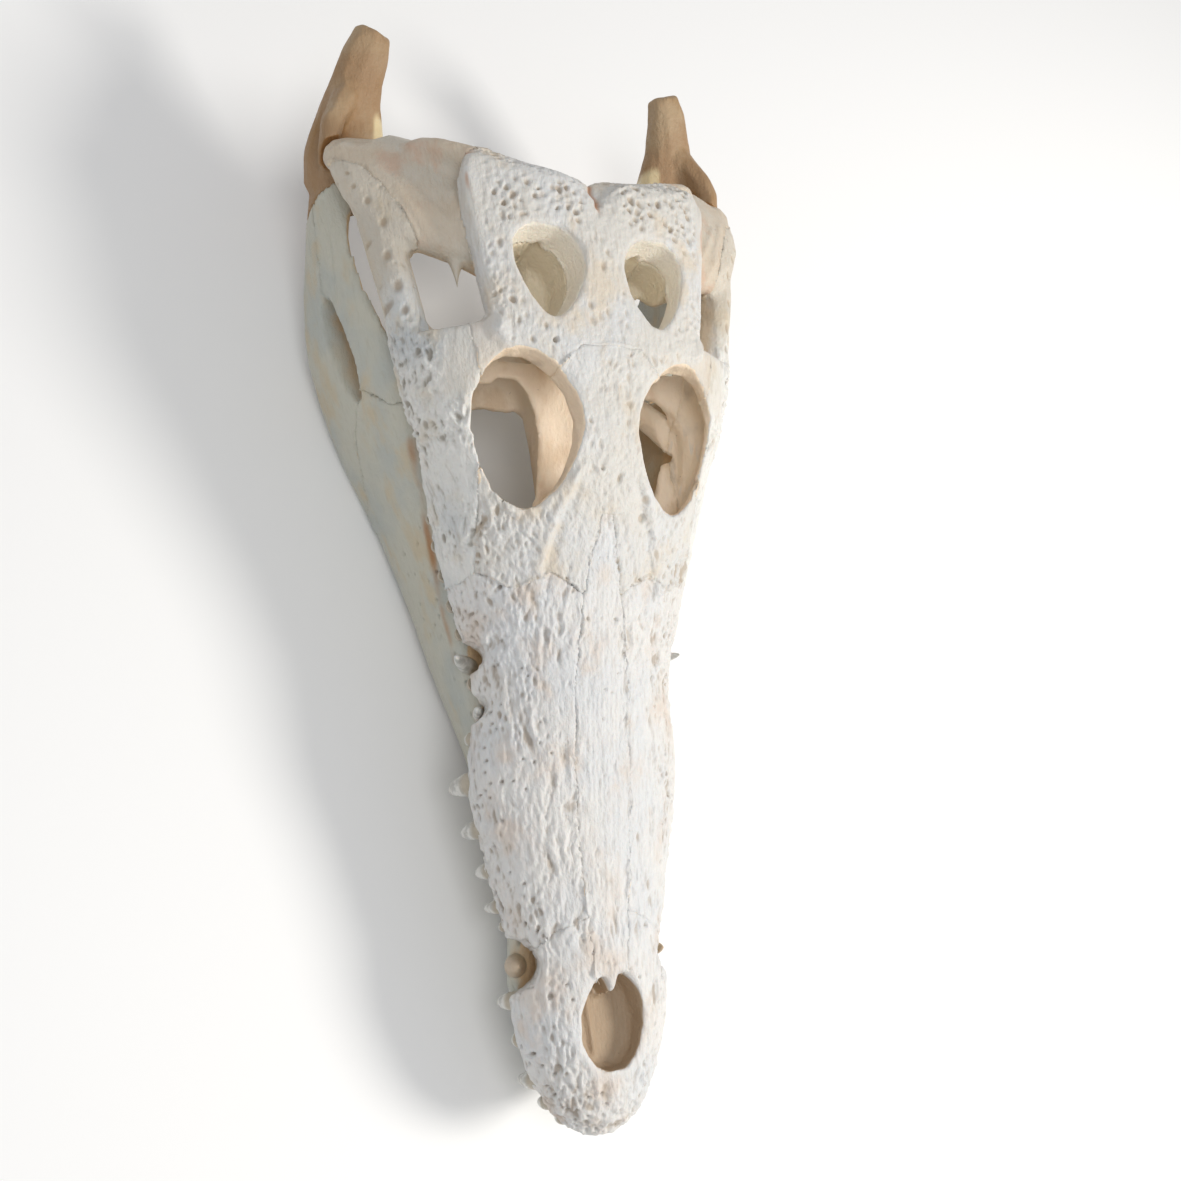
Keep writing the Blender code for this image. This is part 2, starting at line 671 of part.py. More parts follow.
def nasal_joint():
    """Thin trough under and beside the long nasal bones."""
    at = track(NASAL)
    roof = track(SNOUT)
    rings = []
    for s in np.linspace(NASAL[0][0], NASAL[-1][0], 16):
        half, depth = at(s)
        wide = half + SUTURE_GAP
        top = roof(s)[2] + 4.0
        bottom = roof(s)[2] - depth
        under = bottom - SUTURE_GAP
        section = (
            (-wide, top), (-wide, under), (wide, under), (wide, top),
            (half, top), (half, bottom), (-half, bottom), (-half, top),
        )
        rings.append([(x, s, z) for x, z in section])
    return loft("nasal_joint", rings)


def under_nasal(s):
    """Height of the middle of the cut under the nasal bones."""
    return track(SNOUT)(s)[2] - track(NASAL)(s)[1] - SUTURE_GAP / 2


def beside_nasal(s):
    return track(NASAL)(s)[0] + SUTURE_GAP / 2


def palate_plate():
    """Sloping cut between the palate and the bones that roof the face."""
    edge = [point for point in MAXILLA_EDGE if point[0] <= 37.0] + [(0.0, 157.5)]
    front = edge + [(-x, s) for x, s in reversed(edge[:-1])]
    outline = front + [(-37.6, 185.0), (-38.2, 206.0), (38.2, 206.0), (37.6, 185.0)]
    rings = []
    for lift in (0.0, SUTURE_GAP):
        rings.append([(x, s, 57.0 + (s - 157.0) * 0.25 + lift) for x, s in outline])
    return loft("palate_plate", rings)


def skull_joints():
    """Thin cutters that part the upper skull into its bones."""
    front = PREMAXILLA_EDGE[-1][1]
    rear = MAXILLA_EDGE[-1][1]
    nasal_end = NASAL[-1][0]
    cutters = [nasal_joint(), palate_plate()]
    cutters.append(joint_sheet(((-2.4, nasal_end), (2.4, nasal_end)), under_nasal(nasal_end) - 0.1, 120))
    for place in (front, rear):
        reach = beside_nasal(place)
        cutters.append(joint_sheet(((-reach, place), (reach, place)), 10, under_nasal(place)))
    middle = [(s, under_nasal(s)) for s in np.linspace(front, rear, 12)]
    rings = []
    for s, top in middle:
        half = SUTURE_GAP / 2
        rings.append([(-half, s, 10.0), (half, s, 10.0), (half, s, top), (-half, s, top)])
    cutters.append(loft("midline_joint", rings))
    for side in (-1, 1):
        to_front = PREMAXILLA_EDGE[:-1] + ((beside_nasal(front), front),)
        to_rear = MAXILLA_EDGE[:-1] + ((beside_nasal(rear), rear),)
        cutters.append(joint_sheet(to_front, 10, 120, side=side))
        cutters.append(joint_sheet(to_rear, 10, 120, side=side))
        cutters.append(joint_sheet(JUGAL_EDGE, 10, 120, side=side))
        cutters.append(joint_sheet(QUADRATE_EDGE, 30, 86, side=side))
        wall = []
        for s, z in TABLE_EDGE:
            wall.append([(side * x, s, height) for x, height in (
                (20.5 - SUTURE_GAP / 2, 57.0), (20.5 + SUTURE_GAP / 2, 57.0),
                (20.5 + SUTURE_GAP / 2, z), (20.5 - SUTURE_GAP / 2, z))])
        cutters.append(loft("braincase_joint", wall))
        table_side = ((247.0, 80.0),) + TABLE_EDGE[1:]
        cutters.append(joint_sheet(table_side, 26.9, 52, upright=False, side=side))
    cutters.append(joint_sheet(FRONTAL_EDGE, 76, 120))
    table_middle = ((238.0, 78.0),) + TABLE_EDGE
    cutters.append(joint_sheet(table_middle, -27.06, 27.06, upright=False))
    cutters.append(joint_sheet(BASE_EDGE, -26, 26, upright=False))
    return cutters


def jaw_joints():
    """Thin cutters that part the lower jaw into its bones."""
    cutters = [joint_sheet(((0.0, -5.0), (0.0, 64.0)), -10, 60)]
    for side in (-1, 1):
        cutters.append(joint_sheet(DENTARY_EDGE, 24, 90, upright=False, side=side))
        cutters.append(joint_sheet(ANGULAR_EDGE, 24, 90, upright=False, side=side))
        cutters.append(joint_sheet(ARTICULAR_EDGE, 24, 90, upright=False, side=side))
    return cutters


def tooth(foot, radius, length, lean, side):
    """Slightly curved cone whose root is sunk into the bone; a negative length points down."""
    slope = math.radians(lean)
    axis = Vector((side * math.sin(slope), 0.0, math.copysign(math.cos(slope), length)))
    inward = Vector((-side * math.cos(slope), 0.0, math.sin(slope)))
    rings = []
    for t, width in ((-0.36, 0.8), (0.0, 1.0), (0.62, 0.66), (1.0, 0.1)):
        centre = Vector(foot) + axis * abs(length) * t + inward * abs(length) * 0.10 * max(t, 0.0) ** 2
        rings.append([
            tuple(centre + Vector((math.cos(a), math.sin(a), 0.0)) * radius * width)
            for a in ellipse_angles(6)
        ])
    return loft("tooth", rings)


def upper_teeth(rows, side, chance):
    at = track(SNOUT)
    teeth = []
    for s, radius, length in rows:
        half, middle, _, palate, _ = at(s)
        x = half - radius - 0.6 - 1.2 * max(0.0, (12 - s) / 12)
        long = length * chance.uniform(0.92, 1.08)
        spot = s + chance.uniform(-0.5, 0.5)
        teeth.append(tooth((side * x, spot, palate + 0.8), radius, -long, UPPER_LEAN, side))
    return teeth


def lower_teeth(side, chance):
    at = track(RAMUS)
    teeth = []
    for s, inset, radius, length, lean in DENTARY_TEETH:
        outer = at(s)[1]
        top = at(s)[4]
        long = length * chance.uniform(0.95, 1.05)
        teeth.append(tooth((side * (outer - inset), s, top - 1.2), radius, long, lean, side))
    return teeth


def loose_parts(body):
    """The closed surfaces of a body as objects of their own, scraps dropped."""
    mesh = bmesh.new()
    mesh.from_mesh(body.data)
    mesh.verts.ensure_lookup_table()
    seen = set()
    groups = []
    for start in mesh.verts:
        if start.index in seen:
            continue
        seen.add(start.index)
        group = [start]
        for vertex in group:
            for edge in vertex.link_edges:
                other = edge.other_vert(vertex)
                if other.index not in seen:
                    seen.add(other.index)
                    group.append(other)
        groups.append([vertex.index for vertex in group])
    mesh.free()
    parts = []
    for group in groups:
        chosen = set(group)
        piece = bmesh.new()
        piece.from_mesh(body.data)
        unwanted = [vertex for vertex in piece.verts if vertex.index not in chosen]
        bmesh.ops.delete(piece, geom=unwanted, context="VERTS")
        size = piece.calc_volume(signed=True) / MM ** 3
        if size > SCRAP_SIZE:
            data = bpy.data.meshes.new("part")
            piece.to_mesh(data)
            part = bpy.data.objects.new("part", data)
            bpy.context.scene.collection.objects.link(part)
            parts.append(part)
        piece.free()
    bpy.data.objects.remove(body, do_unlink=True)
    return parts


def name_bones(parts, bones):
    """Give each part the name of the bone whose point lies nearest to its surface."""
    named = {}
    points = []
    for title, x, s, z, tone in bones:
        sides = (("", 0),) if x == 0 else (("_l", 1), ("_r", -1))
        for ending, side in sides:
            points.append((title + ending, to_world(side * x, s, z), tone))
    for title, point, tone in points:
        def distance(part):
            return min((vertex.co - point).length for vertex in part.data.vertices)
        nearest = min((part for part in parts if part not in named.values()), key=distance)
        nearest.name = title
        nearest.data.name = title
        nearest.data.materials.clear()
        nearest.data.materials.append(bone_material(title, tone))
        named[title] = nearest
    for part in parts:
        if part not in named.values():
            bpy.data.objects.remove(part, do_unlink=True)
    return named


def bone_material(title, tone):
    material = bpy.data.materials.new(title)
    material.use_nodes = True
    shader = material.node_tree.nodes["Principled BSDF"]
    shader.inputs["Base Color"].default_value = (tone, tone * 0.93, tone * 0.82, 1.0)
    shader.inputs["Roughness"].default_value = 0.55
    return material


def keep_largest(body):
    """Drop the loose bits that a union of small bodies can leave."""
    material = body.data.materials[0]
    title = body.name
    parts = loose_parts(body)
    parts.sort(key=lambda part: len(part.data.vertices))
    for part in parts[:-1]:
        bpy.data.objects.remove(part, do_unlink=True)
    kept = parts[-1]
    kept.name = title
    kept.data.name = title
    kept.data.materials.clear()
    kept.data.materials.append(material)
    return kept


def shade(body):
    body.data.shade_smooth()
    body.data.set_sharp_from_angle(angle=math.radians(38))


def build_skull():
    skull = remesh(skull_shell(), VOXEL, 2)
    combine(skull, skull_openings(), "DIFFERENCE", "MANIFOLD")
    remesh(skull, VOXEL, 3)
    coarsen(skull, SKULL_FACES)
    combine(skull, skull_joints(), "DIFFERENCE", "MANIFOLD")
    return name_bones(loose_parts(skull), SKULL_BONES)


def floor_cutter():
    corners = ((-90.0, -90.0), (90.0, -90.0), (90.0, 90.0), (-90.0, 90.0))
    rings = []
    for z in (-12.0, 0.0):
        rings.append([(x, 176.0 + 2.2 * s, z) for x, s in corners])
    return loft("floor_cutter", rings)


def build_jaw():
    jaw = remesh(jaw_shell(), VOXEL, 2)
    cutters = []
    for side in (-1, 1):
        cutters.append(jaw_window(side))
        cutters.append(muscle_space(side))
        cutters.append(sweep("clearance", QUADRATE, side, grow=JAW_CLEARANCE))
        cutters.append(sweep("clearance", JUGAL_BAR, side, grow=JAW_CLEARANCE))
    combine(jaw, cutters, "DIFFERENCE", "MANIFOLD")
    remesh(jaw, VOXEL, 3)
    coarsen(jaw, JAW_FACES)
    finish = [condyle(side, 2, 12, JOINT_CLEARANCE) for side in (-1, 1)]
    finish.append(floor_cutter())
    combine(jaw, finish, "DIFFERENCE", "MANIFOLD")
    combine(jaw, jaw_joints(), "DIFFERENCE", "MANIFOLD")
    return name_bones(loose_parts(jaw), JAW_BONES)


def main():
    clear_scene()
    bones = build_skull()
    bones.update(build_jaw())
    chance = random.Random(7)
    sets = {"premaxilla": []}
    for side, ending in ((1, "_l"), (-1, "_r")):
        sets["premaxilla"] += upper_teeth(PREMAXILLA_TEETH, side, chance)
        sets["maxilla" + ending] = upper_teeth(MAXILLA_TEETH, side, chance)
        sets["dentary" + ending] = lower_teeth(side, chance)
    for title, teeth in sets.items():
        combine(bones[title], teeth, "UNION", "MANIFOLD")
    for title in list(bones):
        bones[title] = keep_largest(bones[title])
        shade(bones[title])


main()
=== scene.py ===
"""A dry, bleached crocodile skull with its lower jaw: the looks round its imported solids.

Lengths are in millimetres until a mesh is written. s runs back from the snout tip, x runs to the
animal's left and z runs up from the floor.
"""
import math
import random
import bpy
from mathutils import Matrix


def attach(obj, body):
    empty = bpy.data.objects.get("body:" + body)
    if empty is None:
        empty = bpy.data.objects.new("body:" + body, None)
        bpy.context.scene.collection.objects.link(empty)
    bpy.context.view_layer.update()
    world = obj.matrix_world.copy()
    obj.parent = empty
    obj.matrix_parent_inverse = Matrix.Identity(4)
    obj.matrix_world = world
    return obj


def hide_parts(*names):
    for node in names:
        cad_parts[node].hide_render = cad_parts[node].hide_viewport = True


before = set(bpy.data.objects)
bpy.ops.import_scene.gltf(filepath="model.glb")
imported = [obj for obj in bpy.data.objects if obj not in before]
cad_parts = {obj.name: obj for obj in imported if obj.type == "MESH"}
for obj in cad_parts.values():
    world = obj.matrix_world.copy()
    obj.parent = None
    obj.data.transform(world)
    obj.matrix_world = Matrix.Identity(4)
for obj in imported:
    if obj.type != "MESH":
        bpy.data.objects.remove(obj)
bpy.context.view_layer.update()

from types import SimpleNamespace

import bmesh
import bpy
import numpy as np
from mathutils import Matrix, Vector
from mathutils.bvhtree import BVHTree
from mathutils.kdtree import KDTree

MM = 0.001
TIP_Y = -176.0
SEED = 7

# Mesh size of the copies of the rough bones and of the smooth ones
FINE = 0.50
COARSE = 0.62
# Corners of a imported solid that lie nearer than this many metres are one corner
WELD = 0.000002
# Fairing: its rounds times the mesh size, and the two steps of each round
FAIR_LENGTH = 16.0
FAIR_OUT = 0.5
FAIR_BACK = -0.526
# How far a bone's surface stands out of its solid, and how much more beside its neighbours, so that
# the gap between two bones closes to a thin line
SWELL = 0.10
JOINT_SWELL = 0.36
NEIGHBOUR_REACH = 5.0
# Wandering of the joints, as how far and how broad
JOINT_WAVES = ((0.8, 3.2, 71), (0.7, 8.0, 73))
# Shelter: rays from each spot, spacing of the spots, and how far a ray looks for bone
SHELTER_RAYS = 28
SHELTER_SPACING = 3.2
SHELTER_REACH = 75.0

# Camera, from the photograph: lens for a 36 mm sensor, place in metres, point looked at, roll
LENS = 38.85
CAMERA_SPOT = (-0.1837, -0.1144, 0.4022)
CAMERA_AIM = (0.00326, -0.01304, 0.060)
CAMERA_ROLL = -6.87

SKULL = (
    "premaxilla", "maxilla_l", "maxilla_r", "nasal", "frontal", "skull_table", "jugal_l", "jugal_r",
    "quadrate_l", "quadrate_r", "braincase", "palate",
)
JAW = (
    "dentary_l", "dentary_r", "surangular_l", "surangular_r", "angular_l", "angular_r",
    "articular_l", "articular_r",
)
BONES = SKULL + JAW
ROUGH_BONES = SKULL[:8]
SNOUT_BONES = ("premaxilla", "maxilla_l", "maxilla_r", "nasal")
BROW_BONES = ("frontal",) + SNOUT_BONES[1:]
TABLE_BONES = ("skull_table", "frontal")
JUGALS = ("jugal_l", "jugal_r")
QUADRATES = ("quadrate_l", "quadrate_r")
DENTARIES = ("dentary_l", "dentary_r")
SLOTS = {name: name[:-2] if name[-2:] in ("_l", "_r") else name for name in BONES}

# The upper teeth lean outwards by the first angle, and behind REAR_START by the second
UPPER_LEAN = 17
REAR_LEAN = -8
REAR_START = 130
# Teeth, left side: x, s and height of the root, radius at the gum, length, lean outwards in degrees
PREMAXILLA_TEETH = (
    (10.5, 6.5, 27.7, 1.4, 3.4), (15.2, 12.0, 28.1, 1.6, 3.8), (18.3, 19.0, 28.6, 2.1, 7.6),
    (22.6, 30.5, 29.4, 1.8, 3.2), (23.7, 41.6, 30.4, 2.1, 7.2),
)
MAXILLA_TEETH = (
    (25.5, 63.8, 32.8, 1.2, 2.8), (26.2, 70.0, 33.2, 1.8, 7.0), (28.4, 80.6, 34.1, 2.1, 7.5),
    (30.7, 93.6, 35.4, 2.5, 9.0), (32.8, 107.8, 36.8, 2.9, 11.0), (32.8, 120.5, 38.9, 1.7, 3.4),
    (32.0, 137.0, 41.4, 1.6, 3.2), (35.4, 153.0, 43.8, 1.7, 3.0), (38.1, 162.0, 45.2, 1.6, 2.9),
    (40.6, 171.0, 47.0, 1.6, 2.8), (42.9, 180.0, 49.2, 1.5, 2.8), (44.7, 188.0, 51.4, 1.5, 2.6),
)
DENTARY_TEETH = (
    (7.7, 12.0, 25.1, 1.7, 4.0, 10), (10.9, 19.0, 25.3, 1.6, 3.8, 10), (14.0, 28.0, 25.7, 1.7, 4.0, 10),
    (17.4, 38.0, 26.4, 1.7, 4.0, 10), (21.0, 52.0, 27.9, 2.7, 11.0, 32),
    (19.2, 62.5, 28.7, 1.6, 4.0, 5), (18.8, 70.0, 29.2, 1.6, 4.2, 5), (19.5, 78.0, 29.7, 1.7, 4.4, 5),
    (21.3, 87.0, 30.3, 1.7, 4.6, 5), (22.6, 97.0, 31.1, 1.8, 4.8, 5), (23.5, 107.0, 31.9, 1.8, 4.8, 5),
    (24.4, 117.0, 33.0, 1.8, 4.8, 5), (26.9, 128.5, 34.2, 1.9, 12.6, 34),
    (30.1, 144.5, 35.4, 2.1, 14.6, 42), (30.7, 156.0, 37.0, 1.8, 4.4, 0),
    (33.2, 166.0, 38.9, 1.7, 4.2, 0), (36.0, 176.0, 41.7, 1.6, 4.0, 0),
)
# The lower tooth that is yellowed with age stands here
OLD_TOOTH_S = 52.0
# Random length of the upper and the lower teeth, and how far an upper one may stand off its place
UPPER_LENGTHS = (0.92, 1.08)
LOWER_LENGTHS = (0.95, 1.05)
UPPER_SHIFT = 0.5
# Shape of a tooth whose length and radius are 1: hook, part in the bone, depth of its section
TOOTH_SHAPE = {"Bend": 0.75, "Buried": 0.3, "Keel": 1.10, "Points round": 22, "Points along": 16}
# Width of a tooth from its gum, 0, to its tip, 1
TOOTH_TAPER = ((0.0, 1.0), (0.3, 0.98), (0.55, 0.82), (0.78, 0.58), (0.93, 0.34), (1.0, 0.10))
# The modelled teeth are this much thicker and longer than the solids' plain ones, to cover them
TOOTH_GIRTH = 1.22
TOOTH_REACH = {
    "premaxilla": 1.35, "maxilla_l": 1.35, "maxilla_r": 1.35, "dentary_l": 1.1, "dentary_r": 1.1,
}

# Rims seen in plan, left side: x, s
ORBIT = (
    (41.0, 212.0), (39.8, 203.0), (36.5, 193.5), (31.0, 185.5), (24.5, 182.8), (18.0, 186.5),
    (13.0, 193.5), (10.2, 202.5), (10.4, 211.0), (14.5, 219.0), (21.0, 225.0), (28.0, 227.6),
    (35.0, 225.5), (39.6, 219.0),
)
SUPRATEMPORAL = (
    (18.7, 267.3), (25.5, 266.8), (30.2, 262.5), (30.4, 256.0), (28.4, 248.0), (24.4, 240.5),
    (19.0, 235.5), (14.0, 237.5), (9.3, 243.5), (6.2, 251.0), (5.8, 257.5), (8.4, 263.0),
    (13.0, 266.5),
)
NARIS = (
    (0.4, 17.6), (5.2, 18.8), (9.2, 23.0), (11.4, 29.5), (11.5, 35.5), (9.6, 42.0), (6.0, 47.0),
    (2.6, 47.6), (0.6, 42.0), (-0.8, 42.0), (-2.2, 47.4), (-5.2, 46.0), (-8.6, 41.0),
    (-10.4, 35.0), (-10.6, 29.0), (-8.4, 23.0), (-4.6, 18.8),
)

# Single holes seen from above: radius, depth, how dark their painted shade is, then x and s of each
NERVE_HOLES = (
    (0.5, 0.6, 0.6, ((0.5, 129.8), (3.0, 128.9), (5.4, 134.3), (7.3, 120.6))),
    (0.5, 0.6, 0.7, ((-0.4, 121.0),)),
    (0.5, 0.7, 0.6, ((20.5, 125.2),)),
    (0.5, 0.7, 0.7, ((7.0, 47.5), (9.9, 44.5))),
    (0.5, 0.7, 0.8, ((-22.4, 135.4), (-24.0, 137.9), (-23.6, 102.5), (-19.7, 115.4),
        (-16.6, 112.1), (-19.5, 121.5))),
    (0.5, 0.8, 0.8, ((-31.2, 126.6), (-31.2, 123.0), (-33.1, 116.4), (-33.4, 109.0),
        (-32.2, 105.5), (-34.0, 102.7), (-32.1, 101.5), (-2.6, 10.3))),
    (0.5, 0.8, 0.9, ((-26.9, 105.3), (-24.3, 111.3))),
    (0.6, 0.7, 0.4, ((-3.1, 192.7),)),
    (0.6, 0.7, 0.5, ((-8.2, 56.7),)),
    (0.6, 0.7, 0.6, ((9.2, 132.0), (22.1, 138.0))),
    (0.6, 0.8, 0.6, ((13.5, 59.4),)),
    (0.6, 0.8, 0.7, ((-29.5, 146.5), (-30.0, 140.0), (22.5, 78.0))),
    (0.6, 0.8, 0.8, ((-12.6, 40.8), (-14.2, 45.2), (-23.9, 75.4), (25.5, 111.0), (28.4, 133.0))),
    (0.6, 0.9, 0.8, ((-4.3, 13.1), (15.5, 30.0), (19.5, 40.0), (16.8, 20.5), (27.5, 98.0),
        (30.2, 104.0))),
    (0.6, 0.9, 0.9, ((-33.0, 112.4), (-29.6, 105.5), (-21.4, 110.0), (-20.7, 61.2), (-18.6, 59.4),
        (-20.2, 23.1), (-17.2, 20.3), (-18.4, 17.2), (-16.6, 14.2))),
    (0.7, 0.7, 0.4, ((4.2, 150.5),)),
    (0.7, 0.8, 0.5, ((-12.3, 162.0), (-5.5, 151.1))),
    (0.7, 0.9, 0.7, ((13.9, 162.5),)),
    (0.7, 0.9, 0.8, ((-8.2, 12.6), (-12.8, 9.7), (31.0, 150.0))),
    (0.7, 1.0, 0.9, ((-22.6, 46.1),)),
    (0.8, 1.0, 0.8, ((-36.7, 155.9),)),
    (0.8, 1.1, 1.0, ((-22.4, 26.5),)),
    (0.9, 1.1, 0.9, ((-30.5, 161.3),)),
    (1.0, 0.8, 0.35, ((-10.0, 158.8),)),
    (1.0, 1.2, 0.6, ((-18.4, 42.4),)),
    (1.0, 1.6, 0.7, ((-18.4, 229.6),)),
    (1.5, 1.0, 0.25, ((12.6, 179.9),)),
    (1.6, 0.7, 0.0, ((13.3, 185.3),)),
)
# Shallow pits of the smooth rear of the cheek bar, both sides: x, s, radius, depth
CHEEK_PITS = (
    (66.3, 280.0, 1.1, 0.8), (62.3, 272.5, 1.2, 0.8), (65.6, 268.0, 0.9, 0.7), (61.6, 262.0, 1.4, 0.9),
    (59.1, 252.1, 1.7, 1.0), (63.3, 254.0, 1.3, 0.9), (57.4, 244.2, 1.3, 0.9), (69.5, 285.5, 0.8, 0.6),
    (61.0, 247.5, 1.3, 0.9), (70.6, 291.0, 0.9, 0.6),
)
# Ridge that runs forward from the orbit's front corner and the hollow beside it, both sides: x, s
BROW_RIDGE = ((10.5, 192.2), (13.6, 186.0), (16.6, 180.2), (19.6, 169.6), (21.5, 160.0))
BROW_HOLLOW = ((11.0, 186.5), (14.6, 178.5), (17.0, 171.1), (18.6, 162.0))
# Low ridges on top of the quadrates: x, s
QUADRATE_RIDGES = (
    ((62.5, 292.0), (58.0, 284.0), (53.0, 273.0), (47.5, 264.5)),
    ((57.0, 288.0), (51.0, 279.0), (44.5, 270.0)),
)
# Along the jaw's outer side, a groove and a band of painted shadow under the upper jaw's edge: height,
# s
JAW_GROOVE = ((47.0, 297.4), (44.0, 281.0), (41.2, 265.0))
JAW_SHADOW = ((52.5, 213.0), (43.0, 190.0), (33.8, 166.7), (30.0, 148.0))
# Height or depth of each of them, and its half width
BROW_RIDGE_SIZE = (0.75, 1.5)
BROW_HOLLOW_SIZE = (0.55, 1.8)
QUADRATE_RIDGE_SIZE = (0.55, 1.3)
JAW_GROOVE_SIZE = (0.6, 1.2)
TABLE_CREASE_SIZE = (1.0, 0.9)
SEPTUM_SIZE = (1.1, 0.9)

# Fields of pits: zone, spacing, smallest and largest radius, depth, raised edge, and how much longer
# than wide
PIT_FIELDS = (
    ("table edge", 2.8, 0.90, 1.65, 0.84, 0.24, 1.2),
    ("table edge", 1.7, 0.35, 0.70, 0.26, 0.05, 1.0),
    ("table middle", 3.0, 0.75, 1.35, 0.60, 0.14, 1.8),
    ("table middle", 1.9, 0.35, 0.60, 0.18, 0.03, 1.3),
    ("brow", 2.7, 0.70, 1.20, 0.50, 0.12, 2.4),
    ("brow", 1.7, 0.35, 0.65, 0.20, 0.04, 1.4),
    ("cheek front", 2.9, 0.90, 1.50, 0.90, 0.12, 1.4),
    ("cheek rear", 4.0, 0.50, 1.00, 0.35, 0.05, 1.3),
    ("snout", 2.3, 0.40, 0.85, 0.32, 0.0, 3.2),
    ("snout sides", 2.3, 0.60, 1.05, 0.62, 0.12, 1.9),
)
# Above 1, the pits' edges are rounded
PIT_ROUNDING = 1.35
# Winding ridges: height, width, seed
FLUTES = ((0.66, 2.9, 41), (0.48, 1.35, 43))
CHEEK_NET = ((1.35, 2.5, 91), (0.45, 1.4, 92))
TIP_LUMPS = (1.05, 3.4, 85)
# A flute is this much narrower than long, and a mesh of the cheek's net likewise
FLUTE_SQUEEZE = 0.24
NET_SQUEEZE = 0.62
# Fine lines along the nasal bones: height and spacing
NASAL_LINES = (0.11, 1.6)
# Small holes along the margins of both jaws: spacing, radii, share of the spots that have one, depth
MARGIN_SPACING = 7.0
MARGIN_RADII = (0.5, 0.85)
MARGIN_SHARE = 0.6
MARGIN_DEPTH = 1.0

# Gaps in the upper jaw for the lower teeth, with painted shade in tan: s, half width, x from, height
# below
TOOTH_GAPS = ((52.4, 6.5, 15.0, 38.0), (128.5, 4.5, 24.0, 46.0), (144.5, 5.5, 24.0, 50.0))

# Thin spike of the quadrate's front edge: x, height, length, half width of its foot
SPIKE_X = 42.0
SPIKE_Z = 75.0
SPIKE_LENGTH = 8.0
SPIKE_FOOT = 3.0

# Light: world strength, the point that the lamps face, how far the floor reaches each way, and the
# lamps as name, place, width, power, colour
WORLD_STRENGTH = 0.50
LAMP_AIM = (0.0, 0.0, 0.05)
FLOOR_REACH = 3.0
LAMPS = (
    ("key", (0.68, -0.30, 0.72), 0.30, 7.2, "FFFBF5"),
    ("fill", (-0.20, -0.20, 0.90), 0.40, 1.9, "FFFFFF"),
)

# Patterns on bone and tooth: kind of noise, size in millimetres, stretch, detail, roughness
BONE_VALUES = ("pit", "shelter", "dirt", "suture", "tan", "stain_and_shadow", "cream")
BONE_PATTERNS = {
    "clouds": ("FBM", 34, (1, 1, 1), 3.0, 0.55),
    "blotches": ("FBM", 12, (1, 1.6, 1), 4.0, 0.55),
    "speckle": ("FBM", 2.2, (1, 1, 1), 4.0, 0.55),
    "fibres": ("FBM", 1.2, (1, 9, 1), 4.0, 0.6),
    "pores": ("FBM", 0.9, (1, 1.5, 1), 5.0, 0.6),
    "furrows": ("RIDGED_MULTIFRACTAL", 1.5, (1, 4.0, 1), 3.0, 0.6),
}
# Tones laid over the crest's in turn: most that shows, and where, as pattern or value, low and high
BONE_LAYERS = (
    ("cool", 1.0, (("clouds", 0.42, 0.64),)),
    ("warm", 0.9, (("blotches", 0.50, 0.70),)),
    ("hollow", 0.30, (("fibres", 0.50, 0.75),)),
    # Beige in the pits and in the hollows of the furrows and the net, partly real and partly painted
    # shade
    ("hollow", 0.72, (("pit", 0.12, 0.90),)),
    # Tan of the unbleached inside where the skull shelters the bone, in most finishes paler than the
    # crest as painted light
    ("inside", 1.0, (("shelter", 0.38, 0.72),)),
    ("hollow", 0.45, (("blotches", 0.50, 0.68), ("shelter", 0.45, 0.75))),
    # Tan of the cheek bars, the rear of the cheek and the nostril, and painted shade in the tooth gaps
    ("tan", 0.95, (("tan", 0.05, 0.95),)),
    ("hollow", 0.15, (("suture", 0.2, 0.9), ("speckle", 0.40, 0.60))),
    # Brown stains, and a band of painted shadow along the jaw
    ("stain_and_shadow", 0.85, (("stain_and_shadow", 0.05, 0.95),)),
    # Cream of the hinge's flange, and painted light on the walls of the table's openings
    ("cream", 1.0, (("cream", 0.1, 0.9),)),
    # Painted shade in the nerve holes and the margin holes
    ("dark", 0.80, (("dirt", 0.15, 0.85),)),
    ("dark", 0.50, (("speckle", 0.71, 0.76), ("shelter", 0.55, 0.75))),
)
TONE_NAMES = ("crest", "hollow", "inside", "cool", "warm", "tan", "stain_and_shadow", "cream", "dark")
# Bone finishes: name, slots, how furrowed, tones
FINISHES = (
    ("bleached_bone_table", ("skull_table", "frontal"), 0.35, (
        "D3D0C9", "AB9A84", "F4E1C8", "D2D2D0", "D4C9B8", "CDB89B", "B5763F", "F3ECDD", "54463A")),
    ("weathered_bone_cheek", ("jugal",), 0.7, (
        "DEDDD8", "8C8374", "F6E6CF", "C9CCCC", "CFC6B5", "BFAE92", "A07245", "DDD2BA", "54463A")),
    ("bleached_bone_snout", ("premaxilla", "maxilla", "nasal"), 1.0, (
        "DAD8D4", "A39584", "F2DDC2", "D3D4D4", "D5CABF", "AA947A", "A8713F", "E6DCC4", "5C4D40")),
    ("smooth_bone_quadrate", ("quadrate",), 0.1, (
        "CCBEAA", "B39E83", "E6CFAF", "CEC8BB", "CBB09A", "C2A580", "B0703B", "DDD2BA", "54463A")),
    ("inner_bone_tan", ("braincase", "palate"), 0.1, (
        "F3E6D1", "D2B591", "F9E9D3", "E9DFCE", "DEC39C", "C2A580", "A6713C", "DDD2BA", "4A3B30")),
    ("ivory_bone_jaw", ("dentary", "surangular", "angular"), 0.2, (
        "C3C1B3", "A9A491", "CDB089", "B6B9B2", "C6B99F", "C2A580", "A6713C", "DDD2BA", "4A3B30")),
    ("ochre_bone_hinge", ("articular",), 0.1, (
        "9F805E", "856542", "A87E50", "B09878", "99764A", "A57E52", "8C5A28", "DCC99F", "4A3B30")),
)
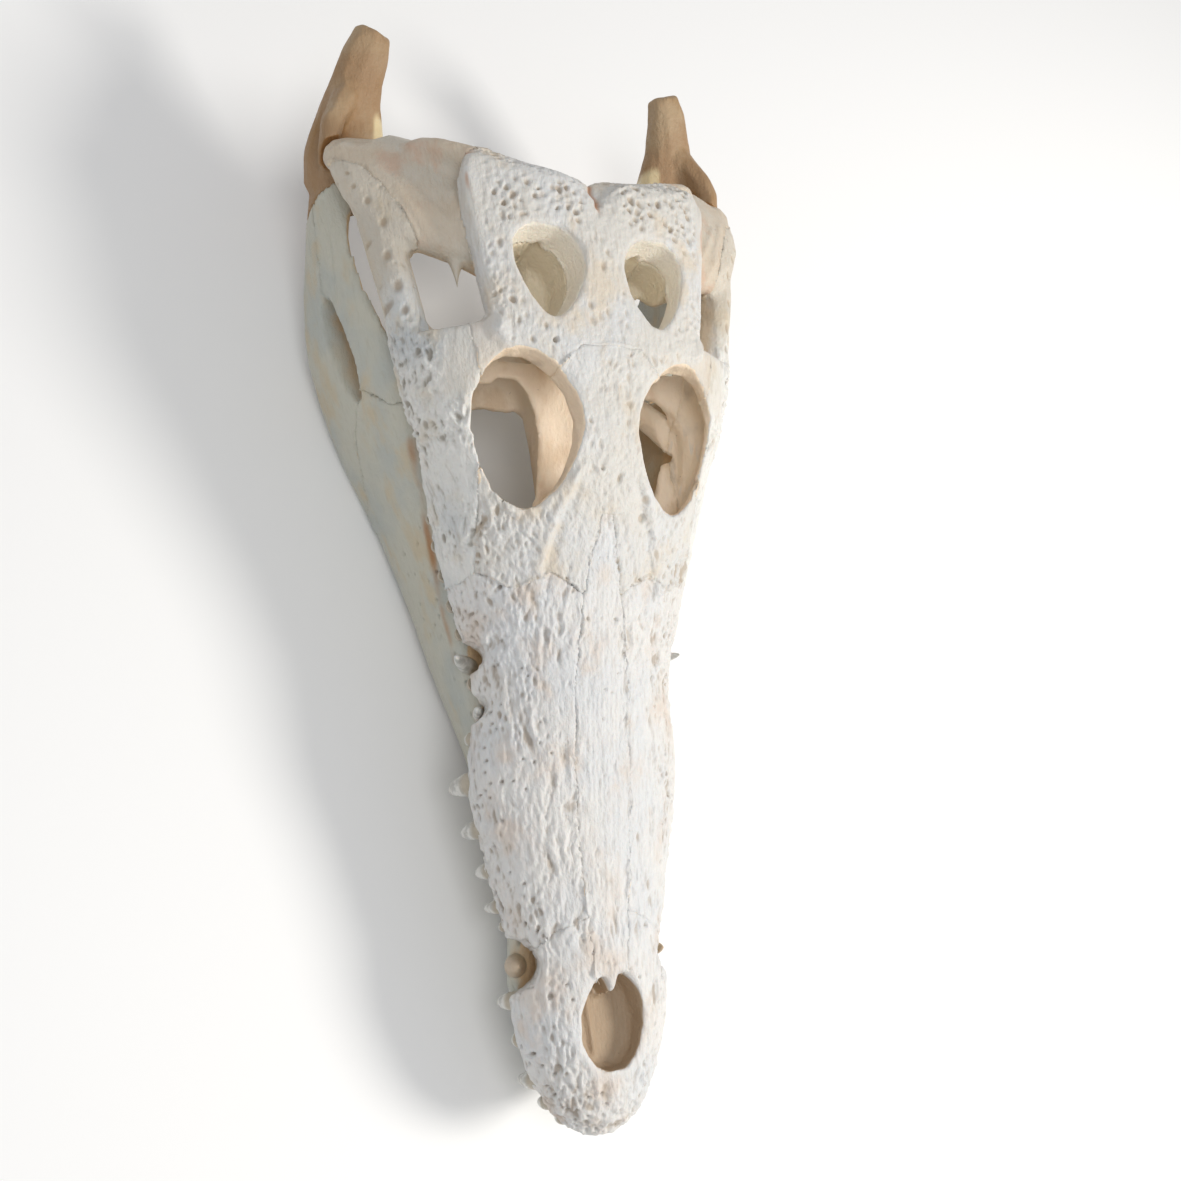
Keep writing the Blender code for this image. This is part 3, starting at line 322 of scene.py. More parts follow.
TOOTH_PATTERNS = {
    "clouds": ("FBM", 3.0, (1, 1, 1), 3.0, 0.55),
    "cracks": ("FBM", 0.5, (1, 1, 9), 3.0, 0.55),
}
TOOTH_TONES = {"crest": "DBDAD5", "grey": "B4B4AE", "crack": "8E877A", "gum": "A3967F", "old": "B59A76"}
TOOTH_LAYERS = (
    ("grey", 1.0, (("clouds", 0.38, 0.62),)),
    ("old", 0.8, (("yellowed", 0.1, 0.9),)),
    ("crack", 0.35, (("cracks", 0.60, 0.72),)),
    ("gum", 0.8, (("root", 0.1, 0.9),)),
)
BONE_SHADER = {
    "IOR": 1.5, "Specular IOR Level": 0.45, "Subsurface Weight": 0.10,
    "Subsurface Radius": (1.0, 0.6, 0.4), "Subsurface Scale": 0.0015,
}
# Roughness of dry bone, least and most, and of its waxy spots
BONE_ROUGHNESS = ((0.44, 0.62), 0.30)
# Fine relief: strength, and depth in metres
BONE_BUMP = {"Strength": 0.7, "Distance": 0.00055}
TOOTH_BUMP = {"Strength": 0.3, "Distance": 0.0002}
TOOTH_SHADER = {
    "Roughness": 0.34, "IOR": 1.62, "Subsurface Weight": 0.2, "Subsurface Radius": (1.0, 0.7, 0.5),
    "Subsurface Scale": 0.0012,
}


def clamp01(value):
    return np.clip(value, 0.0, 1.0)


def ease(low, high, value):
    """0 up to low and 1 from high on, smooth between them; low may be the larger of the two."""
    t = clamp01((value - low) / (high - low))
    return t * t * (3 - 2 * t)


def hump(value, width):
    """1 in the middle, falling smoothly to nothing at about twice the width."""
    return np.exp(-(value / width) ** 2)


def hashed(cells, seed):
    """A steady value from 0 to 1 for each whole-number cell."""
    key = cells.astype(np.int64).astype(np.uint64)
    mixed = key[:, 0] * np.uint64(73856093) ^ key[:, 1] * np.uint64(19349663)
    mixed = mixed ^ key[:, 2] * np.uint64(83492791) ^ np.uint64(seed * 2654435761 % 2 ** 32)
    mixed = (mixed ^ (mixed >> np.uint64(13))) * np.uint64(1274126177)
    mixed = mixed & np.uint64(0xFFFFFFFF)
    mixed = (mixed ^ (mixed >> np.uint64(16))) * np.uint64(2246822519)
    mixed = (mixed >> np.uint64(8)) & np.uint64(0xFFFFFF)
    return mixed.astype(float) / 0xFFFFFF


def waver(points, size, seed):
    """Smooth noise from -1 to 1 whose lumps are about size across."""
    scaled = points / size
    corner = np.floor(scaled)
    t = scaled - corner
    t = t * t * (3 - 2 * t)
    total = np.zeros(len(points))
    for dx in (0, 1):
        for dy in (0, 1):
            for dz in (0, 1):
                share = (t[:, 0] if dx else 1 - t[:, 0]) * (t[:, 1] if dy else 1 - t[:, 1])
                share = share * (t[:, 2] if dz else 1 - t[:, 2])
                total += share * hashed(corner + np.array((dx, dy, dz)), seed)
    return total * 2 - 1


def rough(points, size, seed, octaves=3):
    """Noise from -1 to 1 with finer noise on it."""
    total = np.zeros(len(points))
    weight = 1.0
    for k in range(octaves):
        total += weight * waver(points, size / 2 ** k, seed + 11 * k)
        weight *= 0.5
    return total / 1.75


def swirl(points, size, seed):
    """Smooth noise in three directions."""
    return np.stack([waver(points, size, seed + 100 * k) for k in range(3)], axis=1)


def crests(points, size, seed):
    """Narrow winding ridges between broad hollows, from about -0.6 to 0.6."""
    ridge = 1 - np.abs(waver(points, size, seed)) * 1.7
    finer = 1 - np.abs(waver(points, size * 0.55, seed + 7)) * 1.7
    return 0.65 * ridge + 0.35 * finer - 0.42


def ridged(points, layers):
    """Layers of winding ridges, added up."""
    return sum(tall * crests(points, width, seed) for tall, width, seed in layers)


def to_mm(points):
    """From metres in the frame to millimetres with s."""
    moved = points / MM
    moved[:, 1] -= TIP_Y
    return moved


def to_metres(points):
    moved = points.copy()
    moved[:, 1] += TIP_Y
    return moved * MM


def read(items, title, width, kind=np.float32):
    """One value, such as its place, of each item of a mesh."""
    flat = np.empty(len(items) * width, kind)
    items.foreach_get(title, flat)
    return flat.reshape(-1, width)


def read_points(mesh):
    return to_mm(read(mesh.vertices, "co", 3).astype(float))


def write_points(mesh, points):
    mesh.vertices.foreach_set("co", to_metres(points).astype(np.float32).ravel())
    mesh.update()


def write_values(mesh, title, values):
    layer = mesh.attributes.new(title, "FLOAT", "POINT")
    layer.data.foreach_set("value", values.astype(np.float32))


def tree_of(names):
    """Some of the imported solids, in millimetres, for rays and nearest points."""
    points, faces, start = [], [], 0
    for name in names:
        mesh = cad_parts[name].data
        spots = read_points(mesh)
        mesh.calc_loop_triangles()
        points.append(spots)
        faces.append(read(mesh.loop_triangles, "vertices", 3, np.int32) + start)
        start += len(spots)
    return BVHTree.FromPolygons(np.concatenate(points).tolist(), np.concatenate(faces).tolist())


def spot_tree(spots):
    tree = KDTree(len(spots))
    for i, spot in enumerate(spots.tolist()):
        tree.insert(spot, i)
    tree.balance()
    return tree


def show(title, data, material=None):
    """Put a mesh, lamp or camera in the scene as one object."""
    thing = bpy.data.objects.new(title, data)
    if material:
        data.materials.append(material)
    bpy.context.scene.collection.objects.link(thing)
    return thing


def settle(body, title):
    """What a body's modifiers make of it, as one plain mesh; the body itself goes."""
    graph = bpy.context.evaluated_depsgraph_get()
    made = bpy.data.meshes.new_from_object(body.evaluated_get(graph), depsgraph=graph)
    body.modifiers.clear()
    bpy.data.objects.remove(body, do_unlink=True)
    made.name = title
    return made


def fine_bone(name):
    """A closed, evenly meshed copy of one packed bone, and the size of its mesh."""
    size = FINE if name in ROUGH_BONES else COARSE
    form = bmesh.new()
    form.from_mesh(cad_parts[name].data)
    bmesh.ops.remove_doubles(form, verts=form.verts, dist=WELD)
    mesh = bpy.data.meshes.new(name + "_copy")
    form.to_mesh(mesh)
    form.free()
    body = show(name + "_copy", mesh)
    remesh = body.modifiers.new("even", "REMESH")
    remesh.mode = "VOXEL"
    remesh.voxel_size = size * MM
    return settle(body, name + "_bone"), size


def fair(points, edges, weights, size):
    """Smooth out facets without shrinking the form."""
    count = len(points)
    first, second = edges[:, 0], edges[:, 1]
    degree = np.bincount(first, minlength=count) + np.bincount(second, minlength=count)
    degree = np.maximum(degree, 1)
    moved = points.copy()
    for _ in range(int(FAIR_LENGTH / size)):
        for step in (FAIR_OUT, FAIR_BACK):
            for k in range(3):
                axis = moved[:, k]
                mean = np.bincount(first, axis[second], count) + np.bincount(second, axis[first], count)
                moved[:, k] = axis + step * weights * (mean / degree - axis)
    return moved


def beside(points, tree, reach):
    """Distance to the neighbouring bones, at most reach, and the direction of the nearest spot."""
    distance = np.full(len(points), reach)
    towards = np.zeros((len(points), 3))
    for i, point in enumerate(points.tolist()):
        spot, _, _, gap = tree.find_nearest(point, reach)
        if spot is not None:
            distance[i] = gap
            towards[i] = (spot[0] - point[0], spot[1] - point[1], spot[2] - point[2])
    return distance, towards / np.maximum(distance, 1e-6)[:, None]


def thin_out(points, spacing, chance):
    """Indices of points, about one for each cell as wide as spacing."""
    cells = np.floor(points / spacing + chance.random(3)).astype(np.int64)
    key = (cells[:, 0] * 100003 + cells[:, 1]) * 100003 + cells[:, 2]
    order = chance.permutation(len(points))
    _, first = np.unique(key[order], return_index=True)
    return order[first]


def spread(points, spacing, chance):
    """Spots on the surface that keep about spacing from each other."""
    spots = points[thin_out(points, spacing, chance)]
    tree = spot_tree(spots)
    dropped = np.zeros(len(spots), bool)
    for i, spot in enumerate(spots.tolist()):
        if dropped[i]:
            continue
        for _, j, _ in tree.find_range(spot, spacing * 0.62):
            if j > i:
                dropped[j] = True
    return spots[~dropped]


def nearest_two(points, spots):
    """Distances to the two nearest spots, and which the nearest is."""
    tree = spot_tree(spots)
    found = np.empty((len(points), 3))
    for i, point in enumerate(points.tolist()):
        (_, which, near), (_, _, far) = tree.find_n(point, 2)
        found[i] = (near, far, which)
    return found[:, 0], found[:, 1], found[:, 2].astype(int)


def line_distance(x, s, line):
    """Distance in plan to an open line."""
    best = np.full(len(x), 1e9)
    for (ax, a), (bx, b) in zip(line[:-1], line[1:]):
        dx, ds = bx - ax, b - a
        t = clamp01(((x - ax) * dx + (s - a) * ds) / (dx * dx + ds * ds))
        best = np.minimum(best, np.hypot(x - ax - t * dx, s - a - t * ds))
    return best


def rim_distance(points, outline, side):
    """Signed distance in plan to a closed outline: positive outside it."""
    x, s = points[:, 0], points[:, 1]
    corners = [(side * corner_x, corner_s) for corner_x, corner_s in outline]
    corners.append(corners[0])
    inside = np.zeros(len(points), bool)
    for (ax, a), (bx, b) in zip(corners[:-1], corners[1:]):
        if a != b:
            inside ^= ((a > s) != (b > s)) & (x < ax + (s - a) * (bx - ax) / (b - a))
    best = line_distance(x, s, corners)
    return np.where(inside, -best, best)


def shelter_of(points, normals, chance):
    """Share of the view out of each point that the skull itself closes off."""
    chosen = thin_out(points + normals * 3.0, SHELTER_SPACING, chance)
    tree = tree_of(BONES)
    rays = chance.normal(size=(SHELTER_RAYS, 3))
    rays /= np.linalg.norm(rays, axis=1)[:, None]
    shut = np.empty(len(chosen))
    for row, i in enumerate(chosen):
        normal = normals[i]
        start = Vector(points[i] + normal * 1.1)
        heading = rays + normal * 1.02
        hits = 0
        for ray in heading.tolist():
            if tree.ray_cast(start, ray, SHELTER_REACH)[0] is not None:
                hits += 1
        shut[row] = hits / len(rays)
    tree = spot_tree(points[chosen] + normals[chosen] * 3.0)
    result = np.empty(len(points))
    for i, spot in enumerate((points + normals * 3.0).tolist()):
        weight_sum = total = 0.0
        for _, row, gap in tree.find_n(spot, 4):
            weight = 1.0 / (gap + 0.4)
            weight_sum += weight
            total += weight * shut[row]
        result[i] = total / weight_sum
    return result


def tooth_rows():
    """Every tooth: bone, root, axis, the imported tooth's axis, inward, radius, length, and how
    yellowed it is."""
    chance = random.Random(SEED)
    rows = []
    for side, ending in ((1, "_l"), (-1, "_r")):
        sets = (
            ("premaxilla", [row + (UPPER_LEAN,) for row in PREMAXILLA_TEETH], -1),
            ("maxilla" + ending, [row + (UPPER_LEAN,) for row in MAXILLA_TEETH], -1),
            ("dentary" + ending, DENTARY_TEETH, 1),
        )
        for bone, teeth, way in sets:
            for x, s, z, radius, length, lean in teeth:
                if way < 0:
                    long = length * chance.uniform(*UPPER_LENGTHS)
                    spot = s + chance.uniform(-UPPER_SHIFT, UPPER_SHIFT)
                    tone = 0.2
                else:
                    long = length * chance.uniform(*LOWER_LENGTHS)
                    spot = s
                    tone = 1.0 if s == OLD_TOOTH_S else 0.0
                slope = math.radians(lean)
                packed = np.array((side * math.sin(slope), 0.0, way * math.cos(slope)))
                if way < 0 and s > REAR_START:
                    slope = math.radians(REAR_LEAN)
                axis = np.array((side * math.sin(slope), 0.0, way * math.cos(slope)))
                inward = np.array((-side * math.cos(slope), 0.0, math.sin(slope)))
                root = np.array((side * x, spot, z))
                rows.append((bone, root, axis, packed, inward, radius, long, tone))
    return rows


TEETH = tooth_rows()


def hide_solid_teeth(points, rows):
    """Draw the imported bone's plain teeth in, so that the modelled ones cover them."""
    moved = points.copy()
    for _, root, _, axis, _, radius, length, _ in rows:
        offset = moved - root
        along = offset @ axis
        across = offset - along[:, None] * axis
        width = np.linalg.norm(across, axis=1)
        within = (width < radius * 1.25 + 0.8) & (along < length + 2.0)
        pull = ease(0.7, 2.2, along) * within
        target = root + across * 0.30 + (along * 0.6)[:, None] * axis
        moved = moved * (1 - pull)[:, None] + target * pull[:, None]
    return moved


def sunken(points, normals):
    """How far each point lies inside an eye socket, a table opening or the nostril, in that order."""
    z = points[:, 2]
    turned = ease(0.80, 0.45, normals[:, 2])
    result = np.zeros((3, len(points)))
    for side in (-1, 1):
        rim = rim_distance(points, ORBIT, side)
        lip = turned * ease(3.4, 2.0, rim) * ease(98, 95, z)
        deep = ease(-0.6, -2.4, rim) * ease(95, 90, z)
        result[0] = np.maximum(result[0], np.maximum(lip, deep) * (z > 50))
        rim = rim_distance(points, SUPRATEMPORAL, side)
        lip = turned * ease(2.2, 1.2, rim) * ease(101, 99, z)
        deep = ease(-0.4, -1.6, rim) * ease(97, 94, z)
        result[1] = np.maximum(result[1], np.maximum(lip, deep) * (z > 60))
    rim = rim_distance(points, NARIS, 1)
    lip = turned * ease(1.6, 0.8, rim)
    deep = ease(-0.2, -1.2, rim) * ease(45.5, 43.5, z)
    result[2] = np.maximum(lip, deep) * (points[:, 1] < 60) * ease(31, 33, z) * ease(49, 47.5, z)
    return result


def dab(points, spots, spread_out=1.0):
    """How close each point is to one of some holes, 0 to 1, and the holes' depth and darkness there."""
    x, s = points[:, 0], points[:, 1]
    bowl = np.zeros(len(points))
    drop = np.zeros(len(points))
    dark = np.zeros(len(points))
    for spot_x, spot_s, radius, depth, tone in spots:
        away = np.hypot(x - spot_x, (s - spot_s) / spread_out) / radius
        inside = clamp01(1.15 - away ** 2)
        bowl = np.maximum(bowl, inside)
        drop = np.maximum(drop, depth * inside)
        dark = np.maximum(dark, tone * clamp01(inside * 1.6))
    return bowl, drop, dark


def of(skin, *bones):
    """1 where a point belongs to one of some bones, 0 elsewhere."""
    return np.isin(skin.names, [BONES.index(bone) for bone in bones]).astype(float)


def rim_band(points):
    """1 on the rims of the sockets, the table's openings and the nostril, 0 a little off them."""
    s, z = points[:, 1], points[:, 2]
    rims = np.full(len(points), 1e9)
    for way in (-1, 1):
        rims = np.minimum(rims, np.abs(rim_distance(points, ORBIT, way)))
        rims = np.minimum(rims, np.abs(rim_distance(points, SUPRATEMPORAL, way)) + 0.3)
    band = np.where(z > 80, 1 - ease(0.9, 2.8, rims), 0.0)
    around = 1 - ease(0.6, 2.4, np.abs(rim_distance(points, NARIS, 1)))
    return np.maximum(band, np.where((s < 60) & (z > 38), around, 0.0))


def survey(points, normals, names, shelter, nostril):
    """The points of all the bones, which way they face, in which zone they lie, and an empty
    height and pit layer for them."""
    skin = SimpleNamespace(points=points, normals=normals, names=names, nostril=nostril)
    x, s, z = points[:, 0], points[:, 1], points[:, 2]
    skin.x, skin.s, skin.z, skin.up = x, s, z, normals[:, 2]
    skin.wide, skin.side = np.abs(x), np.sign(x)
    skin.open_air = 1 - ease(0.30, 0.55, shelter)
    skin.upwards = ease(-0.25, 0.15, skin.up)
    skin.sideways = normals[:, 0] * skin.side
    skin.outwards = np.maximum(skin.upwards, ease(0.2, 0.6, skin.sideways))
    skin.near_rim = rim_band(points)
    skin.jugals = of(skin, *JUGALS)
    wide = skin.wide
    bar = skin.jugals * ease(53, 47, wide) * ease(213, 218, s) * ease(246, 241, s) * ease(70, 75, z)
    side = of(skin, "skull_table") * ease(28, 31, wide) * ease(241, 236, s) * ease(95, 92, z)
    skin.bar = np.maximum(bar, side)
    skin.plain = skin.open_air * (1 - skin.near_rim) * (1 - skin.bar)
    lip = ease(36.3, 38.3, wide) * ease(243, 250, s)
    skin.table = of(skin, *TABLE_BONES) * ease(-0.1, 0.5, skin.up) * skin.plain * (1 - lip)
    edge = np.maximum(ease(21, 27, wide), ease(265, 270, s)) * ease(232, 240, s)
    skin.cheek = skin.jugals * skin.outwards * skin.plain
    snout = of(skin, *SNOUT_BONES) * skin.outwards * skin.plain
    skin.snout = np.maximum(snout, of(skin, "frontal") * ease(193, 183, s) * skin.upwards * skin.plain)
    skin.jaw_side = of(skin, *DENTARIES) * ease(0.1, 0.5, skin.sideways)
    skin.zones = {
        "table edge": skin.table * edge,
        "table middle": skin.table * (1 - edge) * ease(226, 236, s),
        "brow": skin.table * ease(238, 228, s) * ease(180, 192, s),
        "cheek front": skin.cheek * ease(247, 238, s) * ease(192, 212, s),
        "cheek rear": skin.cheek * ease(240, 247, s),
        "snout": skin.snout,
        "snout sides": skin.snout * ease(0.97, 0.80, skin.up),
    }
    skin.height = np.zeros(len(points))
    skin.pits = np.zeros(len(points))
    return skin


def press_pits(skin, chance):
    """Press each field of pits into its zone."""
    for title, spacing, small, large, drop, ridge, stretch in PIT_FIELDS:
        zone = np.flatnonzero(skin.zones[title] > 0.02)
        place = skin.points[zone]
        drawn = place + 0.24 * spacing * swirl(place, 4.0, 23) + 0.20 * spacing * swirl(place, 1.7, 24)
        drawn[:, 1] /= stretch
        strength = skin.zones[title][zone] * (0.35 + 0.65 * ease(-0.5, 0.2, waver(place, 13.0, 21)))
        spots = spread(drawn, spacing, chance)
        near, far, which = nearest_two(drawn, spots)
        size = chance.uniform(small, large, len(spots))[which]
        deep = np.clip(chance.normal(0.7, 0.42, len(spots)), 0.0, 1.5)[which]
        bowl = clamp01(1 - (near / size) ** 2) ** PIT_ROUNDING
        lip = ridge * hump(far - near, 0.3 * spacing)
        skin.height[zone] += strength * (lip - drop * deep * bowl)
        # How far each pit is darkened to the hollow tone, partly as painted shade
        shown = strength * deep * bowl * min(1.0, drop * 1.3)
        skin.pits[zone] = np.maximum(skin.pits[zone], shown)


def cut_furrows(skin):
    """Lengthwise furrows of the snout, the brow and the front of the cheek, splayed a little from
    the midline, and fine lines along the nasal bones."""
    steep = ease(0.95, 0.75, skin.up)
    fluted = skin.snout * (1 + 0.35 * steep) + skin.cheek * ease(214, 186, skin.s) * 1.25
    fluted = np.maximum(fluted, 0.55 * skin.zones["brow"])
    zone = np.flatnonzero(fluted > 0.02)
    place = skin.points[zone]
    drawn = place + 0.7 * swirl(place, 4.0, 29)
    drawn[:, 0] += skin.side[zone] * drawn[:, 1] * 0.10
    drawn[:, 0] += 2.0 * waver(place, 19.0, 31)
    drawn[:, 1] *= FLUTE_SQUEEZE
    wide, s = skin.wide[zone], place[:, 1]
    middle = 1 - 0.6 * ease(8.0, 4.0, wide) * ease(60, 72, s) * ease(178, 165, s)
    patch = 0.30 + 0.70 * ease(-0.5, 0.35, waver(place, 12.0, 33))
    relief = ridged(drawn, FLUTES) + 0.14 * rough(drawn, 0.9, 45)
    skin.height[zone] += fluted[zone] * middle * patch * relief
    # The furrows' hollows darken likewise, partly as painted shade
    shown = clamp01(fluted[zone] * patch * middle * -relief * 1.5)
    skin.pits[zone] = np.maximum(skin.pits[zone], shown)
    tall, apart = NASAL_LINES
    lines = np.cos(place[:, 0] * 2 * math.pi / apart + 1.4 * waver(place, 9.0, 35))
    skin.height[zone] += skin.snout[zone] * (1 - middle) * tall * lines


def raise_net(skin):
    """The front of the cheek is a network of sharp winding ridges."""
    drawn = skin.points.copy()
    drawn[:, 1] *= NET_SQUEEZE
    drawn += 0.5 * swirl(skin.points, 2.6, 93)
    net = ridged(drawn, CHEEK_NET)
    skin.height += skin.zones["cheek front"] * net
    # The net's hollows darken likewise, partly as painted shade
    skin.pits = np.maximum(skin.pits, clamp01(-1.3 * net * skin.zones["cheek front"]))


def shape_landmarks(skin):
    """Ridges, hollows and creases that have a place of their own."""
    x, s, z, wide = skin.x, skin.s, skin.z, skin.wide
    tall, half = BROW_RIDGE_SIZE
    ridge = hump(line_distance(wide, s, BROW_RIDGE), half) * of(skin, *BROW_BONES)
    skin.height += tall * ridge * skin.upwards * skin.plain
    deep, half = BROW_HOLLOW_SIZE
    hollow = hump(line_distance(wide, s, BROW_HOLLOW), half) * of(skin, *BROW_BONES)
    skin.height -= deep * hollow * skin.upwards * skin.plain
    deep, half = TABLE_CREASE_SIZE
    skin.crease = hump(x + 0.5 + 0.4 * np.sin(s * 0.9), half) * of(skin, "skull_table")
    skin.crease *= ease(270, 275, s)
    skin.height -= deep * skin.crease
    tall, half = QUADRATE_RIDGE_SIZE
    for line in QUADRATE_RIDGES:
        ridge = hump(line_distance(wide, s, line), half)
        skin.height += tall * ridge * of(skin, *QUADRATES) * skin.upwards
    deep, half = JAW_GROOVE_SIZE
    groove = hump(line_distance(z, s, JAW_GROOVE), half) * of(skin, "surangular_l", "surangular_r")
    skin.height -= deep * groove * ease(0.2, 0.6, skin.sideways)
    tall, half = SEPTUM_SIZE
    septum = hump(x + 3.5 + 0.05 * (s - 32), half) * ease(22, 26, s) * ease(44, 39, s)
    skin.height += tall * septum * skin.nostril * ease(0.4, 0.8, skin.up)


def sink_holes(skin, chance):
    """Nerve holes of the skull's top, pits of the cheek bars and holes along the jaws' margins."""
    holes = [(x, s, *size) for *size, places in NERVE_HOLES for x, s in places]
    bowl, drop, dark = dab(skin.points, holes)
    seen = skin.upwards * of(skin, *ROUGH_BONES) * skin.open_air
    skin.height -= 1.1 * drop * seen
    # The nerve holes are darkened with painted shade, in the dark tone and the pit tone
    skin.dirt = 0.55 * bowl * dark * seen
    skin.pits = np.maximum(skin.pits, 0.7 * bowl * seen)
    both = np.stack([skin.wide, skin.s, skin.z], axis=1)
    bowl, drop, _ = dab(both, [row + (0.0,) for row in CHEEK_PITS], 1.5)
    skin.height -= 0.75 * drop * skin.jugals * skin.outwards
    skin.pits = np.maximum(skin.pits, 0.7 * bowl * skin.jugals * skin.outwards)
    skin.brown = bowl * skin.jugals * skin.outwards * 0.30
    upper = (skin.snout > 0.3) & (skin.up < 0.7)
    lower = (skin.jaw_side > 0.4) & (skin.z > 17) & (skin.s < 190)
    zone = np.flatnonzero(upper | lower)
    spots = spread(skin.points[zone], MARGIN_SPACING, chance)
    near, _, which = nearest_two(skin.points[zone], spots)
    size = chance.uniform(*MARGIN_RADII, len(spots))[which]
    present = (chance.random(len(spots)) < MARGIN_SHARE)[which]
    hole = clamp01(1 - (near / size) ** 2) * present
    skin.height[zone] -= MARGIN_DEPTH * hole
    # The margin holes are darkened with painted shade
    skin.dirt[zone] = np.maximum(skin.dirt[zone], 0.5 * hole ** 0.6)


def wear_down(skin):
    """The lumpy, worn tip of the snout, broad unevenness, and faint fibres on the smooth bones."""
    points = skin.points
    tall, width, seed = TIP_LUMPS
    lumps = crests(points + 0.8 * swirl(points, 3.0, 87), width, seed)
    worn = skin.snout * ease(27, 10, skin.s) * ease(-0.2, 0.3, skin.up)
    skin.height += tall * lumps * worn
    skin.pits = np.maximum(skin.pits, clamp01(-1.5 * lumps * worn))
    rest = 1 - clamp01(skin.table + skin.cheek + skin.snout)
    skin.height += 0.26 * rough(points, 22.0, 51) + 0.14 * waver(points, 7.0, 52)
    fibres = points.copy()
    fibres[:, 1] *= 0.12
    grain = (rest * 0.09 + skin.jaw_side * 0.10) * rough(fibres, 1.6, 61)
    skin.height += grain * (1 - skin.near_rim)
    skin.height -= 0.05 * clamp01(waver(points, 1.7, 63) - 0.2) * rest


def stains_and_shade(skin):
    """How tan, how brown and how cream each point is; the tan holds painted shade in the tooth gaps,
    and the brown a band of painted shadow along the jaw.
    """
    points, s, z, wide = skin.points, skin.s, skin.z, skin.wide
    tan = np.maximum(skin.bar * 0.35, 0.95 * skin.nostril)
    tan = np.maximum(tan, 0.55 * skin.jugals * ease(236, 262, s))
    # Painted shade in and below each tooth gap, on the faces that do not look up
    for gap_s, gap_width, gap_x, gap_top in TOOTH_GAPS:
        shaded = hump(s - gap_s, gap_width) * ease(gap_x, gap_x + 3, wide)
        shaded *= ease(gap_top, gap_top - 4, z)
        shaded *= ease(gap_top - 18, gap_top - 9, z) * ease(-0.75, 0.15, rough(points, 7.0, 82))
        tan = np.maximum(tan, shaded * ease(0.75, 0.35, skin.up))
    cream = of(skin, "articular_l", "articular_r") * ease(56, 53, wide) * ease(309, 313, s)
    cream *= ease(329, 323, s)
    # A brown band of painted shadow along the jaw, under the upper jaw's edge
    stain_and_shadow = hump(line_distance(z, s, JAW_SHADOW), 1.8) * ease(-0.30, 0.60, rough(points, 14.0, 83))
    stain_and_shadow *= of(skin, *DENTARIES)
    stain_and_shadow = np.maximum(stain_and_shadow * ease(0.0, 0.4, skin.sideways), skin.crease * 0.8)
    patches = ease(0.0, 0.5, waver(points, 7.0, 81))
    sides = of(skin, "skull_table") * ease(0.3, 0.7, skin.sideways) * ease(262, 272, s)
    return tan, np.maximum(np.maximum(stain_and_shadow, skin.brown), sides * patches * 0.6), cream


def draw_spike(points):
    """Pull a thin spike forward from the front edge of one side's quadrate."""
    x, s, z = np.abs(points[:, 0]), points[:, 1], points[:, 2]
    edge = np.flatnonzero((np.abs(x - SPIKE_X) < 1.0) & (np.abs(z - SPIKE_Z) < 6) & (s < 285))
    if not len(edge):
        return points
    foot = points[edge[np.argmin(s[edge])]]
    away = np.linalg.norm(points - foot, axis=1)
    moved = points.copy()
    moved[:, 1] -= SPIKE_LENGTH * clamp01(1 - away / SPIKE_FOOT) ** 2
    return moved


def copy_bones():
    """A fine copy of every bone, how many points each has, and for all points together their
    places, normals and how they lie to the neighbouring bones."""
    meshes, columns = {}, []
    for group in (SKULL, JAW):
        for name in group:
            mesh, size = fine_bone(name)
            points = read_points(mesh)
            others = tree_of([other for other in group if other != name])
            distance, towards = beside(points, others, NEIGHBOUR_REACH)
            edges = read(mesh.edges, "vertices", 2, np.int32)
            points = fair(points, edges, ease(0.5, 2.0, distance), size)
            write_points(mesh, points)
            normals = read(mesh.vertex_normals, "vector", 3).astype(float)
            facing = np.sum(normals * towards, axis=1)
            wall = ease(0.35, 0.8, facing) * (1 - ease(0.45, 0.9, distance))
            corner = ease(0.05, 0.45, facing)
            hold = ease(0.2, 1.3, distance)
            near = 1 - ease(2.0, NEIGHBOUR_REACH, distance)
            meshes[name] = mesh
            columns.append((points, normals, wall, corner, hold, near))
    counts = [len(column[0]) for column in columns]
    return meshes, counts, [np.concatenate(layer) for layer in zip(*columns)]


